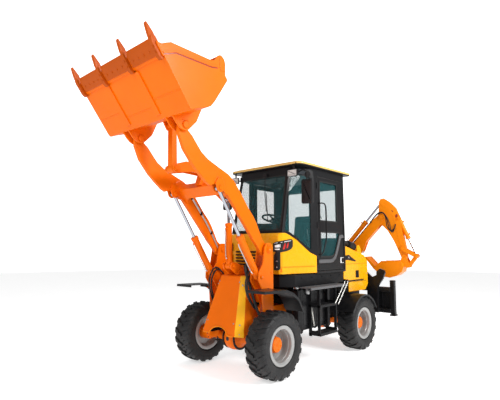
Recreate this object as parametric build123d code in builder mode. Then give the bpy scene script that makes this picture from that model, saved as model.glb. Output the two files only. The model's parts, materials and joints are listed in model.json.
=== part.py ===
from build123d import *
import os
import math

# Backhoe loader: articulated wheel loader with a raised front bucket and a
# side-shift digging arm folded across the rear.
# Millimetres.  +X forward, +Y to the machine's left, +Z up, ground at Z = 0.
# Profiles are written from the front axle (x = 0), the centre plane (y = 0) and
# the ground (z = 0); SX and SY carry that point into the part's own frame, whose
# origin is the middle of the machine's footprint.
os.makedirs("parts", exist_ok=True)

# ---------------------------------------------------------------- driving sizes
SX, SY = 767.257, -128.396          # front axle centre in the part's own frame
WHEEL_R = 420.0                 # tyre outer radius
WHEEL_W = 305.0                 # tyre width
TRACK = 675.0                   # half track, wheel centre plane
WHEELBASE = 2158.0
HINGE_X = -1080.0               # articulation axis
ARM_A = (-100.0, 1600.0)        # loader arm pivot (x, z)
BKT_B = (1343.0, 2990.0)        # loader bucket pin
LIFT_ROD = (769.0, 2347.0)      # lift cylinder rod pin on the arm
LIFT_BASE = (51.0, 1250.0)      # lift cylinder base pin on the tower
LIFT_LOW = (250.0, 1751.0)      # where that pin lies against the arm when the arm is down
ROCK_M = (620.0, 2620.0)        # rocker pivot on the arm cross member
ROCK_P = (1126.0, 2585.0)       # rocker to link pin
ROCK_R = (160.0, 2300.0)        # rocker to tilt cylinder pin
LINK_Q = (1141.0, 3122.0)       # link to bucket pin
TILT_T = (130.0, 1380.0)        # tilt cylinder base pin
ARM_Y = 435.5                   # loader arm centre plane
ARM_T = 50.0                    # loader arm thickness
BUCKET_HW = 812.5               # loader bucket half width
ROOF_Z = 2892.0
SWING_X, SWING_Y = -3177.0, -414.0   # backhoe swing axis
SWING_A = math.radians(80.0)    # backhoe turned this far from straight back to the left
BOOM_F = (80.0, 1150.0)         # boom foot pin (r, z) in the backhoe plane
BOOM_D = (1060.0, 2210.0)       # boom to dipper pin
DIP_E = (1063.0, 2500.0)        # dipper cylinder rod pin
DIP_H = (297.0, 1608.0)         # dipper cylinder base pin on the boom
BOOM_K = (630.0, 1560.0)        # boom cylinder rod pin
BOOM_B = (165.5, 915.0)         # boom cylinder base pin
BOOM_B_DOWN = (329.1, 1171.8)   # where that pin lies against the boom when the boom is down
DIP_G = (1440.0, 1458.0)        # dipper to digging bucket pin
BKC_J = (1360.0, 2170.0)        # bucket cylinder base pin on the dipper
LEV_V = (1410.0, 1610.0)        # bucket lever pivot on the dipper
LEV_N = (1645.0, 1480.0)        # lever, rod and link pin
DB_U = (1512.0, 1302.0)         # link to digging bucket pin
DIG_HW = 190.0                  # digging bucket half width
GAP = 0.3                       # running clearance at pins


# ---------------------------------------------------------------- planes
def side(y=0.0):
    """Vertical plane along the machine, drawn in (x, z)."""
    return Plane(origin=(SX, SY + y, 0), x_dir=(1, 0, 0), z_dir=(0, -1, 0))


def flat(z=0.0):
    """Horizontal plane, drawn in (x, y)."""
    return Plane(origin=(SX, SY, z))


def front(x=0.0):
    """Vertical plane across the machine, drawn in (y, z)."""
    return Plane(origin=(SX + x, SY, 0), x_dir=(0, 1, 0), z_dir=(1, 0, 0))


def digging(w=0.0):
    """Plane of the backhoe, drawn in (r, z); w is the offset across it."""
    n = (math.sin(SWING_A), math.cos(SWING_A))
    return Plane(
        origin=(SX + SWING_X + n[0] * w, SY + SWING_Y + n[1] * w, 0),
        x_dir=(-math.cos(SWING_A), math.sin(SWING_A), 0),
        z_dir=(n[0], n[1], 0),
    )


# ---------------------------------------------------------------- small builders
def prism(plane, points, a, b, mode=Mode.ADD):
    """Extrude a polygon drawn on plane from offset a to offset b along its normal."""
    with BuildSketch(plane.offset(a)) as outline:
        with BuildLine():
            Polyline(*points, close=True)
        make_face()
    extrude(outline.sketch, amount=b - a, mode=mode)


def pin(plane, centre, radius, a, b, mode=Mode.ADD):
    """Cylinder on plane at centre, from offset a to offset b."""
    with BuildSketch(plane.offset(a)) as disc:
        with Locations(centre):
            Circle(radius)
    extrude(disc.sketch, amount=b - a, mode=mode)


def block(x0, x1, y0, y1, z0, z1, mode=Mode.ADD):
    """Box between two corners."""
    with BuildSketch(flat(z0)) as base:
        with Locations(((x0 + x1) / 2, (y0 + y1) / 2)):
            Rectangle(x1 - x0, y1 - y0)
    extrude(base.sketch, amount=z1 - z0, mode=mode)


def bar(p, q, radius, mode=Mode.ADD):
    """Round bar between two points given in machine coordinates."""
    a = Vector(p[0] + SX, p[1] + SY, p[2])
    b = Vector(q[0] + SX, q[1] + SY, q[2])
    with BuildSketch(Plane(origin=a, z_dir=b - a)) as disc:
        Circle(radius)
    extrude(disc.sketch, amount=(b - a).length, mode=mode)


def ball(p, radius):
    """Round elbow between two bars."""
    with Locations((p[0] + SX, p[1] + SY, p[2])):
        Sphere(radius)


def unit(p, q):
    d = math.hypot(q[0] - p[0], q[1] - p[1])
    return ((q[0] - p[0]) / d, (q[1] - p[1]) / d), d


def along(p, q, s, n=0.0):
    """Point s from p towards q, moved n to the left of that direction."""
    (ux, uz), _ = unit(p, q)
    return (p[0] + ux * s - uz * n, p[1] + uz * s + ux * n)


def strap(p, q, h0, h1):
    """Four corners of a bar from p to q, half height h0 at p and h1 at q."""
    (_, _), d = unit(p, q)
    return [along(p, q, 0, h0), along(p, q, 0, -h0), along(p, q, d, -h1), along(p, q, d, h1)]


def band(points, t):
    """Closed outline of a sheet of thickness t on the left of a polyline."""
    inner = []
    for i, p in enumerate(points):
        if i == 0:
            (ux, uz), _ = unit(points[0], points[1])
            inner.append((p[0] - uz * t, p[1] + ux * t))
        elif i == len(points) - 1:
            (ux, uz), _ = unit(points[-2], points[-1])
            inner.append((p[0] - uz * t, p[1] + ux * t))
        else:
            (ax, az), _ = unit(points[i - 1], p)
            (bx, bz), _ = unit(p, points[i + 1])
            nx, nz = -(az + bz), ax + bx
            k = math.hypot(nx, nz)
            nx, nz = nx / k, nz / k
            c = nx * (-az) + nz * ax
            inner.append((p[0] + nx * t / c, p[1] + nz * t / c))
    return list(points) + inner[::-1]


def cylinder_pair(plane, base, tip, w0, r_barrel, r_rod, barrel, eye_r, eye_w, name_b, name_r):
    """Hydraulic cylinder drawn on plane at offset w0: returns (barrel, rod) parts.
    barrel is the length from the base pin to the gland; the rod ends at tip."""
    (ux, uz), d = unit(base, tip)
    o = plane.offset(w0)
    start = o.from_local_coords((base[0], base[1], 0))
    end = o.from_local_coords((tip[0], tip[1], 0))
    axis = end - start
    with BuildPart() as b:
        with BuildSketch(Plane(origin=start + axis * (eye_r * 0.6 / d), z_dir=axis)):
            Circle(r_barrel)
        extrude(amount=barrel - eye_r * 0.6)
        with BuildSketch(Plane(origin=start + axis * ((barrel - 45) / d), z_dir=axis)):
            Circle(r_barrel + 6)
        extrude(amount=45)
        pin(plane, base, eye_r, w0 - eye_w / 2, w0 + eye_w / 2)
        pin(plane, base, 18 + GAP, w0 - eye_w, w0 + eye_w, mode=Mode.SUBTRACT)
        with BuildSketch(Plane(origin=start + axis * ((eye_r + 14) / d), z_dir=axis)):
            Circle(r_rod + GAP)
        extrude(amount=barrel, mode=Mode.SUBTRACT)
    with BuildPart() as r:
        pin(plane, tip, eye_r * 0.9, w0 - eye_w / 2, w0 + eye_w / 2)
        with BuildSketch(Plane(origin=end, z_dir=-axis)):
            Circle(r_rod)
        extrude(amount=d - eye_r - 30 - ROD_SHORT.get(name_r, 0))
        pin(plane, tip, 18 + GAP, w0 - eye_w, w0 + eye_w, mode=Mode.SUBTRACT)
    b.part.label = name_b
    r.part.label = name_r
    return b, r


# how far each rod ends above the bottom of its bore at rest, so that it still
# has room when the cylinder closes
ROD_SHORT = {
    "lift_cylinder_rods": 515.0,
    "tilt_cylinder_rod": 275.0,
    "boom_cylinder_rod": 325.0,
    "dipper_cylinder_rod": 450.0,
    "bucket_cylinder_rod": 290.0,
}


def save(part, name):
    part.label = name
    export_step(part, f"parts/{name}.step")


# ================================================================ wheels
# tyre section: (offset from the wheel's centre plane, radius)
TYRE = [(-119, 212), (-119, 250), (-140, 264), (-152.5, 320), (-148, 378), (-130, 410), (-105, 420),
        (105, 420), (130, 410), (148, 378), (152.5, 320), (140, 264), (119, 250), (119, 212)]
# rim section, positive is the outside of the wheel
RIM = [(-130, 246), (-120.5, 246), (-120.5, 210.5), (120.5, 210.5), (120.5, 246), (130, 246), (130, 202),
       (124, 196), (60, 190), (20, 196), (-22, 200), (-22, 100), (40, 96), (52, 88), (52, 31), (-62, 31),
       (-62, 96), (-36, 100), (-36, 200), (-130, 200)]
WHEELS = [  # name, x, side
    ("front_left", 0.0, 1), ("front_right", 0.0, -1),
    ("rear_left", -WHEELBASE, 1), ("rear_right", -WHEELBASE, -1),
]
for wname, wx, sgn in WHEELS:
    for kind, section in (("tyre", TYRE), ("rim", RIM)):
        with BuildPart() as wheel:
            axis_plane = Plane(origin=(SX + wx, SY + sgn * TRACK, WHEEL_R), x_dir=(0, sgn, 0), z_dir=(sgn, 0, 0))
            with BuildSketch(axis_plane):
                with BuildLine():
                    Polyline(*section, close=True)
                make_face()
            revolve(axis=Axis((SX + wx, SY + sgn * TRACK, WHEEL_R), (0, 1, 0)))
        save(wheel.part, f"{wname}_{kind}")

# ================================================================ axles
# half section (y, radius) from the middle outwards
AXLE = [(0, 165), (55, 158), (105, 125), (140, 80), (200, 62), (470, 60), (490, 92), (560, 98), (606, 98),
        (606, 30), (664, 30), (664, 0)]
for aname, ax in (("front_axle", 0.0), ("rear_axle", -WHEELBASE)):
    with BuildPart() as axle:
        for sgn in (1, -1):
            with BuildSketch(Plane(origin=(SX + ax, SY, WHEEL_R), x_dir=(0, sgn, 0), z_dir=(sgn, 0, 0))):
                with BuildLine():
                    Polyline((0, 0), *AXLE, close=True)
                make_face()
            revolve(axis=Axis((SX + ax, SY, WHEEL_R), (0, 1, 0)))
            block(ax - 70, ax + 70, min(sgn * 265, sgn * 345), max(sgn * 265, sgn * 345), 420, 485)
    save(axle.part, aname)

# ================================================================ front frame
TOWER_OUT = [(-190, 700), (-190, 1250), (-175, 1640), (-130, 1690), (-60, 1690), (-20, 1640), (20, 1420),
             (105, 1300), (110, 1200), (40, 1100), (10, 700)]
TOWER_IN = [(-215, 500), (-215, 1250), (-175, 1640), (-130, 1690), (-60, 1690), (-20, 1640), (20, 1420),
            (105, 1300), (110, 1200), (40, 1100), (-72, 900), (-72, 500)]
# centre tongue in plan, narrow enough to swing between the tanks
TONGUE = [(-965, -128), (-430, -128), (-350, -226), (-270, -345), (-195, -345), (-195, 345), (-270, 345), (-350, 226),
          (-430, 128), (-965, 128)]
with BuildPart() as front_frame:
    for s in (1, -1):
        # rails over the axle
        block(-270, 200, min(s * 265, s * 345), max(s * 265, s * 345), 485, 620)
        # inner and outer tower plates
        prism(side(), TOWER_IN, -s * 380 if s > 0 else 362, -s * 362 if s > 0 else 380)
        prism(side(), TOWER_OUT, -s * 510 if s > 0 else 492, -s * 492 if s > 0 else 510)
        # joins the inner plate to its rail and to the outer plate
        block(-215, -72, min(s * 340, s * 365), max(s * 340, s * 365), 500, 620)
        block(-185, -95, min(s * 375, s * 500), max(s * 375, s * 500), 900, 1180)
        # pivot and cylinder pins across the slot
        pin(side(), ARM_A, 30, -s * 530 if s > 0 else 350, -s * 350 if s > 0 else 530)
        pin(side(), LIFT_BASE, 18, -s * 522 if s > 0 else 350, -s * 350 if s > 0 else 522)
        pin(side(), ARM_A, 52, -s * 518 if s > 0 else 508, -s * 508 if s > 0 else 518)
        # tilt cylinder ears
        prism(side(), [(-150, 1258), (-150, 1330), (80, 1430), (150, 1430), (185, 1395), (170, 1335), (60, 1262)],
              -s * 80 if s > 0 else 58, -s * 58 if s > 0 else 80)
    # cross members between the towers
    block(-160, -90, -370, 370, 1130, 1330)
    block(-215, -150, -370, 370, 500, 760)
    block(-160, -100, -370, 370, 900, 1000)
    pin(side(), TILT_T, 18, -92, 92)
    # centre tongue with the two hinge lugs
    prism(flat(), TONGUE, 500, 620)
    block(-965, -200, -128, 128, 620, 780)
    for z0, z1 in ((720, 760), (505, 545)):
        with BuildSketch(flat(z0)):
            with Locations((HINGE_X, 0)):
                Circle(95)
            with Locations(((HINGE_X - 965) / 2, 0)):
                Rectangle(-965 - HINGE_X, 190)
        extrude(amount=z1 - z0)
    pin(flat(), (HINGE_X, 0), 32 + GAP, 480, 800, mode=Mode.SUBTRACT)
save(front_frame.part, "front_frame")

# nose cover: (z, front x, rear x, half width)
NOSE = [(1250, 100, -60, 240), (730, 272, -60, 345), (500, 345, -60, 387)]
with BuildPart() as front_cover:
    for inset, mode in ((0, Mode.ADD), (10, Mode.SUBTRACT)):
        for z, xf, xr, hw in NOSE:
            zz = z - (inset if z == 1250 else 0) - (1 if z == 500 and inset else 0)
            with BuildSketch(flat(zz)):
                with Locations(((xf - inset + xr - inset * 2) / 2, 0)):
                    Rectangle(xf - inset - xr + inset * 2, 2 * (hw - inset))
        loft(ruled=True, mode=mode)
    # arch over the axle's centre, and room for the axle tube
    with BuildSketch(front(150)):
        with Locations((0, 430)):
            Circle(190)
    extrude(amount=400, mode=Mode.SUBTRACT)
save(front_cover.part, "front_cover")

with BuildPart() as front_fenders:
    for s in (1, -1):
        prism(side(), band([(-440, 785), (-330, 960), (-215, 1040), (-70, 1090), (370, 1100)], 8),
              -s * 830 if s > 0 else 515, -s * 515 if s > 0 else 830)
save(front_fenders.part, "front_fenders")

# ================================================================ loader arms
ARM_UP = [(1284, 2965), (1203, 2900), (1115, 2797), (1056, 2732), (955, 2665), (777, 2591), (613, 2527),
          (510, 2451), (396, 2323), (253, 2139), (147, 2026), (89, 1942), (40, 1853), (-26, 1726),
          (-97, 1672), (-150, 1650), (-168, 1600), (-144, 1545)]
ARM_LOW = [(-90, 1525), (-33, 1522), (90, 1663), (210, 1780), (383, 1949), (495, 2097), (684, 2252),
           (735, 2300), (830, 2318), (970, 2389), (1070, 2467), (1178, 2563), (1320, 2730), (1392, 2890),
           (1400, 2960), (1385, 3030), (1343, 3055), (1300, 3030)]
with BuildPart() as loader_arms:
    for s in (1, -1):
        yc = -s * ARM_Y
        prism(side(), ARM_UP + ARM_LOW, yc - ARM_T / 2, yc + ARM_T / 2)
        # room for the lift cylinder's eye and rod, then the cheeks that carry it
        pin(side(), LIFT_ROD, 56, yc - 60, yc + 60, mode=Mode.SUBTRACT)
        prism(side(), [(715, 2280), (722, 2372), (745, 2394), (790, 2400), (850, 2382), (905, 2366), (940, 2345), (948, 2270)],
              yc - 60, yc + 60, mode=Mode.SUBTRACT)
        # the closed cylinder lies along the arm's lower edge
        prism(side(), [along(LIFT_ROD, LIFT_LOW, 0, 34), along(LIFT_ROD, LIFT_LOW, 130, 60), along(LIFT_ROD, LIFT_LOW, 850, 60),
                       along(LIFT_ROD, LIFT_LOW, 850, -60), along(LIFT_ROD, LIFT_LOW, 150, -60), along(LIFT_ROD, LIFT_LOW, 110, -34),
                       along(LIFT_ROD, LIFT_LOW, 0, -34)], yc - 60, yc + 60, mode=Mode.SUBTRACT)
        for c in (-1, 1):
            a, b = sorted((yc + c * 29, yc + c * 47))
            prism(side(), [(700, 2380), (722, 2310), (769, 2287), (815, 2310), (850, 2400), (800, 2470), (720, 2450)], a, b)
            a, b = sorted((yc + c * 20, yc + c * 32))
            prism(side(), [(720, 2440), (840, 2405), (800, 2490), (720, 2470)], a, b)
        # pivot bore and bucket pin
        pin(side(), ARM_A, 30 + GAP, yc - 60, yc + 60, mode=Mode.SUBTRACT)
        pin(side(), BKT_B, 30, yc - 78, yc + 78)
    # cross member: a box with rounded corners where it meets the arms
    CROSS = Plane(origin=(SX + 622, SY, 2385), x_dir=(0, 1, 0), z_dir=(0.68, 0, -0.733))
    with BuildSketch(CROSS.offset(-55)):
        Rectangle(2 * (ARM_Y - 20), 165)
        for sx in (1, -1):
            for sy in (1, -1):
                with BuildLine():
                    Polyline((sx * 415, sy * 80), (sx * 415, sy * 190), (sx * 385, sy * 120), (sx * 300, sy * 80), close=True)
                make_face()
    extrude(amount=110)
    # rocker bracket and its pin
    prism(side(), [(540, 2420), (580, 2600), (600, 2655), (645, 2655), (670, 2610), (730, 2430)], -50, 50)
    pin(side(), ROCK_M, 25, -95, 95)
save(loader_arms.part, "loader_arms")

ROCKER = [(1126, 2530), (1170, 2560), (1175, 2610), (1130, 2640), (980, 2690), (780, 2700), (620, 2690),
          (500, 2620), (330, 2450), (130, 2355), (105, 2300), (130, 2255), (180, 2250), (400, 2390), (540, 2533),
          (650, 2562), (900, 2572)]
with BuildPart() as rocker_arm:
    for s in (1, -1):
        a, b = sorted((s * 57, s * 82))
        prism(side(), ROCKER, a, b)
    pin(side(), (450, 2510), 26, -60, 60)
    pin(side(), ROCK_M, 25 + GAP, -100, 100, mode=Mode.SUBTRACT)
    pin(side(), ROCK_R, 18, -100, 100, mode=Mode.SUBTRACT)
    for s in (1, -1):
        a, b = sorted((s * 57, s * 98))
        pin(side(), ROCK_P, 34, a, b)
save(rocker_arm.part, "rocker_arm")

with BuildPart() as bucket_link:
    prism(side(), strap(ROCK_P, LINK_Q, 38, 34), -45, 45)
    pin(side(), ROCK_P, 48, -50, 50)
    pin(side(), LINK_Q, 44, -50, 50)
    pin(side(), LINK_Q, 25 + GAP, -60, 60, mode=Mode.SUBTRACT)
    pin(side(), ROCK_P, 18, -60, 60, mode=Mode.SUBTRACT)
save(bucket_link.part, "bucket_link")

# ================================================================ loader bucket
# outside of the shell from the cutting edge round the back to the spill lip
SHELL = [(1960, 3632), (1521, 3049), (1434, 3085), (1258, 3146), (1183, 3228), (1085, 3378), (992, 3523),
         (1027, 3572), (1029, 3702), (1042, 3760), (1112, 3787)]
CHEEK = [(1960, 3632), (1521, 3049), (1434, 3085), (1258, 3146), (1183, 3228), (1085, 3378), (992, 3523),
         (1027, 3572), (1029, 3702), (1042, 3745), (1112, 3787), (1167, 3733), (1232, 3672), (1793, 3679),
         (1838, 3661), (1908, 3625)]
with BuildPart() as loader_bucket:
    prism(side(), band(SHELL, -16), -BUCKET_HW, BUCKET_HW)
    for s in (1, -1):
        a, b = sorted((s * BUCKET_HW, s * (BUCKET_HW - 20)))
        prism(side(), CHEEK, a, b)
        # ears either side of each arm
        for c in (-1, 1):
            a, b = sorted((s * ARM_Y + c * 50, s * ARM_Y + c * 70))
            prism(side(), [(1524, 3056), (1470, 2990), (1395, 2935), (1343, 2925), (1292, 2945), (1180, 3060),
                           (1105, 3230), (1120, 3330), (1200, 3220), (1275, 3152), (1450, 3090)], a, b)
            pin(side(), BKT_B, 30 + GAP, a - 5, b + 5, mode=Mode.SUBTRACT)
        # link ears
        a, b = sorted((s * 55, s * 80))
        prism(side(), [(1100, 3380), (1060, 3200), (1085, 3120), (1120, 3070), (1165, 3070), (1195, 3110),
                       (1230, 3170), (1190, 3240)], a, b)
    pin(side(), LINK_Q, 25, -92, 92)
    # bolt-on edge and the four teeth
    EDGE = Plane(origin=(SX + 1521, SY, 3049), x_dir=(0, 1, 0), z_dir=(0.799, 0, -0.6014))
    with BuildSketch(EDGE):
        with Locations((0, 655)):
            Rectangle(2 * BUCKET_HW, 150)
    extrude(amount=14)
    for yt in (-770, -264, 264, 770):
        prism(side(), [(1790, 3405), (1826, 3378), (2080, 3700), (2066, 3716), (2030, 3690), (1960, 3632)],
              -yt - 42, -yt + 42)
    # wear strips under the floor
    for yc in (-300, 300):
        prism(side(), [along((1521, 3049), (1960, 3632), 60, -1), along((1521, 3049), (1960, 3632), 560, -1),
                       along((1521, 3049), (1960, 3632), 560, -15), along((1521, 3049), (1960, 3632), 60, -15)],
              yc - 40, yc + 40)
save(loader_bucket.part, "loader_bucket")

# ================================================================ loader cylinders
pieces_b, pieces_r = [], []
for s in (1, -1):
    b, r = cylinder_pair(side(), LIFT_BASE, LIFT_ROD, -s * ARM_Y, 46, 22, 625, 44, 48,
                         "lift_cylinder_barrels", "lift_cylinder_rods")
    pieces_b.append(b.part)
    pieces_r.append(r.part)
with BuildPart() as lift_barrels:
    add(pieces_b)
save(lift_barrels.part, "lift_cylinder_barrels")
with BuildPart() as lift_rods:
    add(pieces_r)
save(lift_rods.part, "lift_cylinder_rods")
b, r = cylinder_pair(side(), TILT_T, ROCK_R, 0, 44, 20, 580, 42, 90, "tilt_cylinder_barrel", "tilt_cylinder_rod")
save(b.part, "tilt_cylinder_barrel")
save(r.part, "tilt_cylinder_rod")

# ================================================================ rear frame
with BuildPart() as rear_frame:
    for s in (1, -1):
        block(-2895, -1400, min(s * 265, s * 345), max(s * 265, s * 345), 485, 700)
save(rear_frame.part, "rear_frame")

with BuildPart() as frame_side_plates:
    for s in (1, -1):
        prism(side(), [(-2895, 700), (-2895, 880), (-2640, 885), (-2540, 1080), (-1500, 1080), (-1400, 1040), (-1400, 700)],
              -s * 345 if s > 0 else 325, -s * 325 if s > 0 else 345)
        # outriggers that carry the cab floor
        for x0, x1 in ((-1560, -1500), (-1780, -1730)):
            block(x0, x1, min(s * 340, s * 560), max(s * 340, s * 560), 1000, 1080)
save(frame_side_plates.part, "frame_side_plates")

with BuildPart() as hinge_yoke:
    block(-1400, -1290, -345, 345, 470, 1075)
    # fork round the front frame's lugs, and the hinge pins
    for z0, z1 in ((765, 800), (465, 500)):
        with BuildSketch(flat(z0)):
            with Locations((HINGE_X, 0)):
                Circle(100)
            with Locations(((HINGE_X - 1300) / 2, 0)):
                Rectangle(1300 + HINGE_X, 200)
        extrude(amount=z1 - z0)
    pin(flat(), (HINGE_X, 0), 32, 455, 812)
save(hinge_yoke.part, "hinge_yoke")

with BuildPart() as frame_crossmembers:
    block(-1740, -1680, -265, 265, 485, 640)
    block(-2895, -2835, -265, 265, 485, 880)
    # towing lug under the rear cross member, bored for a shackle pin
    block(-2880, -2810, -60, 60, 415, 490)
    pin(side(), (-2845, 450), 16, -70, 70, mode=Mode.SUBTRACT)
save(frame_crossmembers.part, "frame_crossmembers")

with BuildPart() as engine_block:
    block(-2600, -1960, -230, 230, 600, 1300)
    block(-1960, -1750, -160, 160, 650, 1060)
save(engine_block.part, "engine_block")

# ================================================================ cab
FLOOR = [(-420, -430), (-420, 430), (-560, 600), (-1880, 600), (-1880, -600), (-560, -600)]
FLOOR_IN = [(-440, -415), (-440, 415), (-570, 580), (-1860, 580), (-1860, -580), (-570, -580)]
with BuildPart() as cab_floor:
    prism(flat(), FLOOR, 1082, 1248)
    prism(flat(), FLOOR_IN, 1080, 1215, mode=Mode.SUBTRACT)
save(cab_floor.part, "cab_floor")

# cab body sections: (z, rear x, side knee x, front x, half width, front half width)
CAB = [(1250, -1880, -1100, -440, 650, 500), (1830, -1880, -1085, -412, 650, 490), (2812, -1880, -1000, -622, 640, 470)]
HOODLINE = [(-360, 1262), (-350, 1795), (-372, 1832), (-455, 1834), (-535, 1803), (-705, 1706), (-845, 1608),
            (-925, 1557), (-1050, 1510), (-1050, 1262)]
HOODLINE_IN = [(-372, 1240), (-362, 1790), (-380, 1820), (-450, 1822), (-528, 1791), (-698, 1695), (-839, 1596),
               (-921, 1545), (-1090, 1482), (-1090, 1240)]
WINDSCREEN = [(-455, 1870), (455, 1870), (438, 2685), (-438, 2685)]
QUARTER = [(-468, 1868), (-636, 2690), (-945, 2690), (-945, 1600), (-838, 1662), (-700, 1758), (-560, 1845)]
REARWIN = [(-500, 1750), (500, 1750), (500, 2600), (-500, 2600)]
DOOR_X0, DOOR_X1, DOOR_Z0, DOOR_Z1 = -1838.0, -1080.0, 1290.0, 2700.0
DOOR_HINGE = (1420.0, 1960.0, 2560.0)   # heights of the door hinges


def cab_tube(inset, mode):
    """Loft of the cab's sections, drawn in by inset all round."""
    levels = []
    for z, xr, xk, xf, hw, fw in CAB:
        with BuildSketch(flat(z)) as level:
            with BuildLine():
                Polyline((xr + inset, hw - inset), (xk, hw - inset), (xf - inset, fw - inset * 0.8),
                         (xf - inset, -fw + inset * 0.8), (xk, -hw + inset), (xr + inset, -hw + inset), close=True)
            make_face()
        levels.append(level.sketch)
    loft(levels, ruled=True, mode=mode)


with BuildPart() as cab_shell:
    cab_tube(0, Mode.ADD)
    cab_tube(30, Mode.SUBTRACT)
    # clear of the cowl
    prism(side(), [(-300, 1200), (-300, 1838), (-456, 1838), (-538, 1807), (-708, 1710), (-848, 1612), (-927, 1561),
                   (-1053, 1514), (-1053, 1200)], -700, 700, mode=Mode.SUBTRACT)
    prism(front(), WINDSCREEN, -700, -380, mode=Mode.SUBTRACT)
    prism(side(), QUARTER, -700, 700, mode=Mode.SUBTRACT)
    prism(front(), REARWIN, -1900, -1800, mode=Mode.SUBTRACT)
    block(DOOR_X0 - 6, DOOR_X1 + 6, -700, 700, DOOR_Z0 - 6, DOOR_Z1 + 6, mode=Mode.SUBTRACT)
    # reliefs for the hinge knuckles
    for s in (1, -1):
        for z in DOOR_HINGE:
            pin(flat(), (DOOR_X1, s * 645), 19, z - 46, z + 46, mode=Mode.SUBTRACT)
save(cab_shell.part, "cab_shell")

with BuildPart() as cab_glass:
    cab_tube(12, Mode.ADD)
    cab_tube(18, Mode.SUBTRACT)
    with BuildPart(mode=Mode.PRIVATE) as panes:
        prism(front(), WINDSCREEN, -700, -380)
        prism(side(), QUARTER, -700, 700)
        prism(front(), REARWIN, -1900, -1800)
    add(panes.part, mode=Mode.INTERSECT)
save(cab_glass.part, "cab_glass")

with BuildPart() as cab_roof:
    with BuildSketch(flat(2813)):
        with Locations((-1305, 0)):
            Rectangle(1450, 1400)
        chamfer([v for v in vertices() if v.X > SX - 1000], 60)
    extrude(amount=50)
    with BuildSketch(flat(2863)):
        with Locations((-1305, 0)):
            Rectangle(1380, 1330)
    extrude(amount=ROOF_Z - 2863)
save(cab_roof.part, "cab_roof")

with BuildPart() as hood:
    with BuildSketch(flat(1250)):
        with BuildLine():
            Polyline((-340, -455), (-340, 455), (-400, 512), (-1050, 644), (-1050, -644), (-400, -512), close=True)
        make_face()
    extrude(amount=600)
    with BuildPart(mode=Mode.PRIVATE) as outline:
        prism(side(), HOODLINE, -700, 700)
    add(outline.part, mode=Mode.INTERSECT)
    with BuildPart(mode=Mode.PRIVATE) as inside:
        with BuildSketch(flat(1200)):
            with BuildLine():
                Polyline((-352, -443), (-352, 443), (-407, 498), (-1170, 653), (-1170, -653), (-407, -498), close=True)
            make_face()
        extrude(amount=660)
        with BuildPart(mode=Mode.PRIVATE) as under:
            prism(side(), HOODLINE_IN, -700, 700)
        add(under.part, mode=Mode.INTERSECT)
    add(inside.part, mode=Mode.SUBTRACT)
    # open the deck behind the dash for the driver's legs
    block(-1200, -640, -560, 560, 1500, 1900, mode=Mode.SUBTRACT)
save(hood.part, "hood")

# doors: frame with two panes, flush with the cab side
DOOR_UP = [(-1155, 2030), (-1155, 2635), (-1655, 2635), (-1655, 2030)]
DOOR_LOW = [(-1165, 1490), (-1165, 1865), (-1730, 1865), (-1595, 1580), (-1550, 1520), (-1495, 1490)]
for s, dname in ((1, "left_door"), (-1, "right_door")):
    def across(a, b):
        return (-s * b, -s * a) if s > 0 else (a, b)
    with BuildPart() as door:
        prism(side(), [(DOOR_X0, DOOR_Z0), (DOOR_X1, DOOR_Z0), (DOOR_X1, DOOR_Z1), (DOOR_X0, DOOR_Z1)], *across(612, 638))
        prism(side(), DOOR_UP, *across(600, 660), mode=Mode.SUBTRACT)
        prism(side(), DOOR_LOW, *across(600, 660), mode=Mode.SUBTRACT)
        # latch box and hinge knuckles
        prism(side(), [(-1815, 1395), (-1760, 1395), (-1760, 1465), (-1815, 1465)], *across(636, 655))
        for z in DOOR_HINGE:
            pin(flat(), (DOOR_X1, s * 645), 12, z - 40, z + 40)
            block(DOOR_X1 - 50, DOOR_X1 - 4, min(s * 636, s * 645), max(s * 636, s * 645), z - 32, z + 32)
    save(door.part, dname)
    with BuildPart() as pane:
        prism(side(), DOOR_UP, *across(622, 628))
        prism(side(), DOOR_LOW, *across(622, 628))
    save(pane.part, dname + "_glass")

with BuildPart() as driver_seat:
    block(-1620, -1180, -225, 225, 1580, 1690)
    prism(side(), [(-1700, 1670), (-1590, 1670), (-1660, 2190), (-1760, 2170)], -215, 215)
    block(-1560, -1260, -160, 160, 1249, 1580)
save(driver_seat.part, "driver_seat")

with BuildPart() as steering_column:
    bar((-596, 0, 1262), (-816, 0, 1962), 45)
    bar((-812, 0, 1950), (-853, 0, 2080), 22)
    wheel_plane = Plane(origin=(SX - 850, SY, 2070), z_dir=(-0.300, 0, 0.954))
    with BuildSketch(Plane(origin=wheel_plane.from_local_coords((185, 0, 0)), x_dir=wheel_plane.x_dir,
                           z_dir=wheel_plane.y_dir)):
        Circle(14)
    revolve(axis=Axis(wheel_plane.origin, wheel_plane.z_dir))
    for a in (90, 210, 330):
        with BuildSketch(wheel_plane.offset(-7)):
            with Locations(Location((0, 0, 0), a)):
                with Locations((90, 0)):
                    Rectangle(190, 26)
        extrude(amount=12)
save(steering_column.part, "steering_column")

# ================================================================ rear body
COVER = [(-1900, 1120), (-1900, 1650), (-2000, 1650), (-2620, 1500), (-2737, 1400), (-2737, 1000), (-2640, 905),
         (-2060, 905), (-2060, 1100)]
COVER_IN = [(-1890, 1050), (-1890, 1634), (-1998, 1634), (-2614, 1485), (-2721, 1393), (-2721, 1010), (-2634, 890),
            (-2050, 890), (-2050, 1050)]
with BuildPart() as engine_cover:
    prism(side(), COVER, -600, 600)
    prism(side(), COVER_IN, -584, 584, mode=Mode.SUBTRACT)
save(engine_cover.part, "engine_cover")

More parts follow.
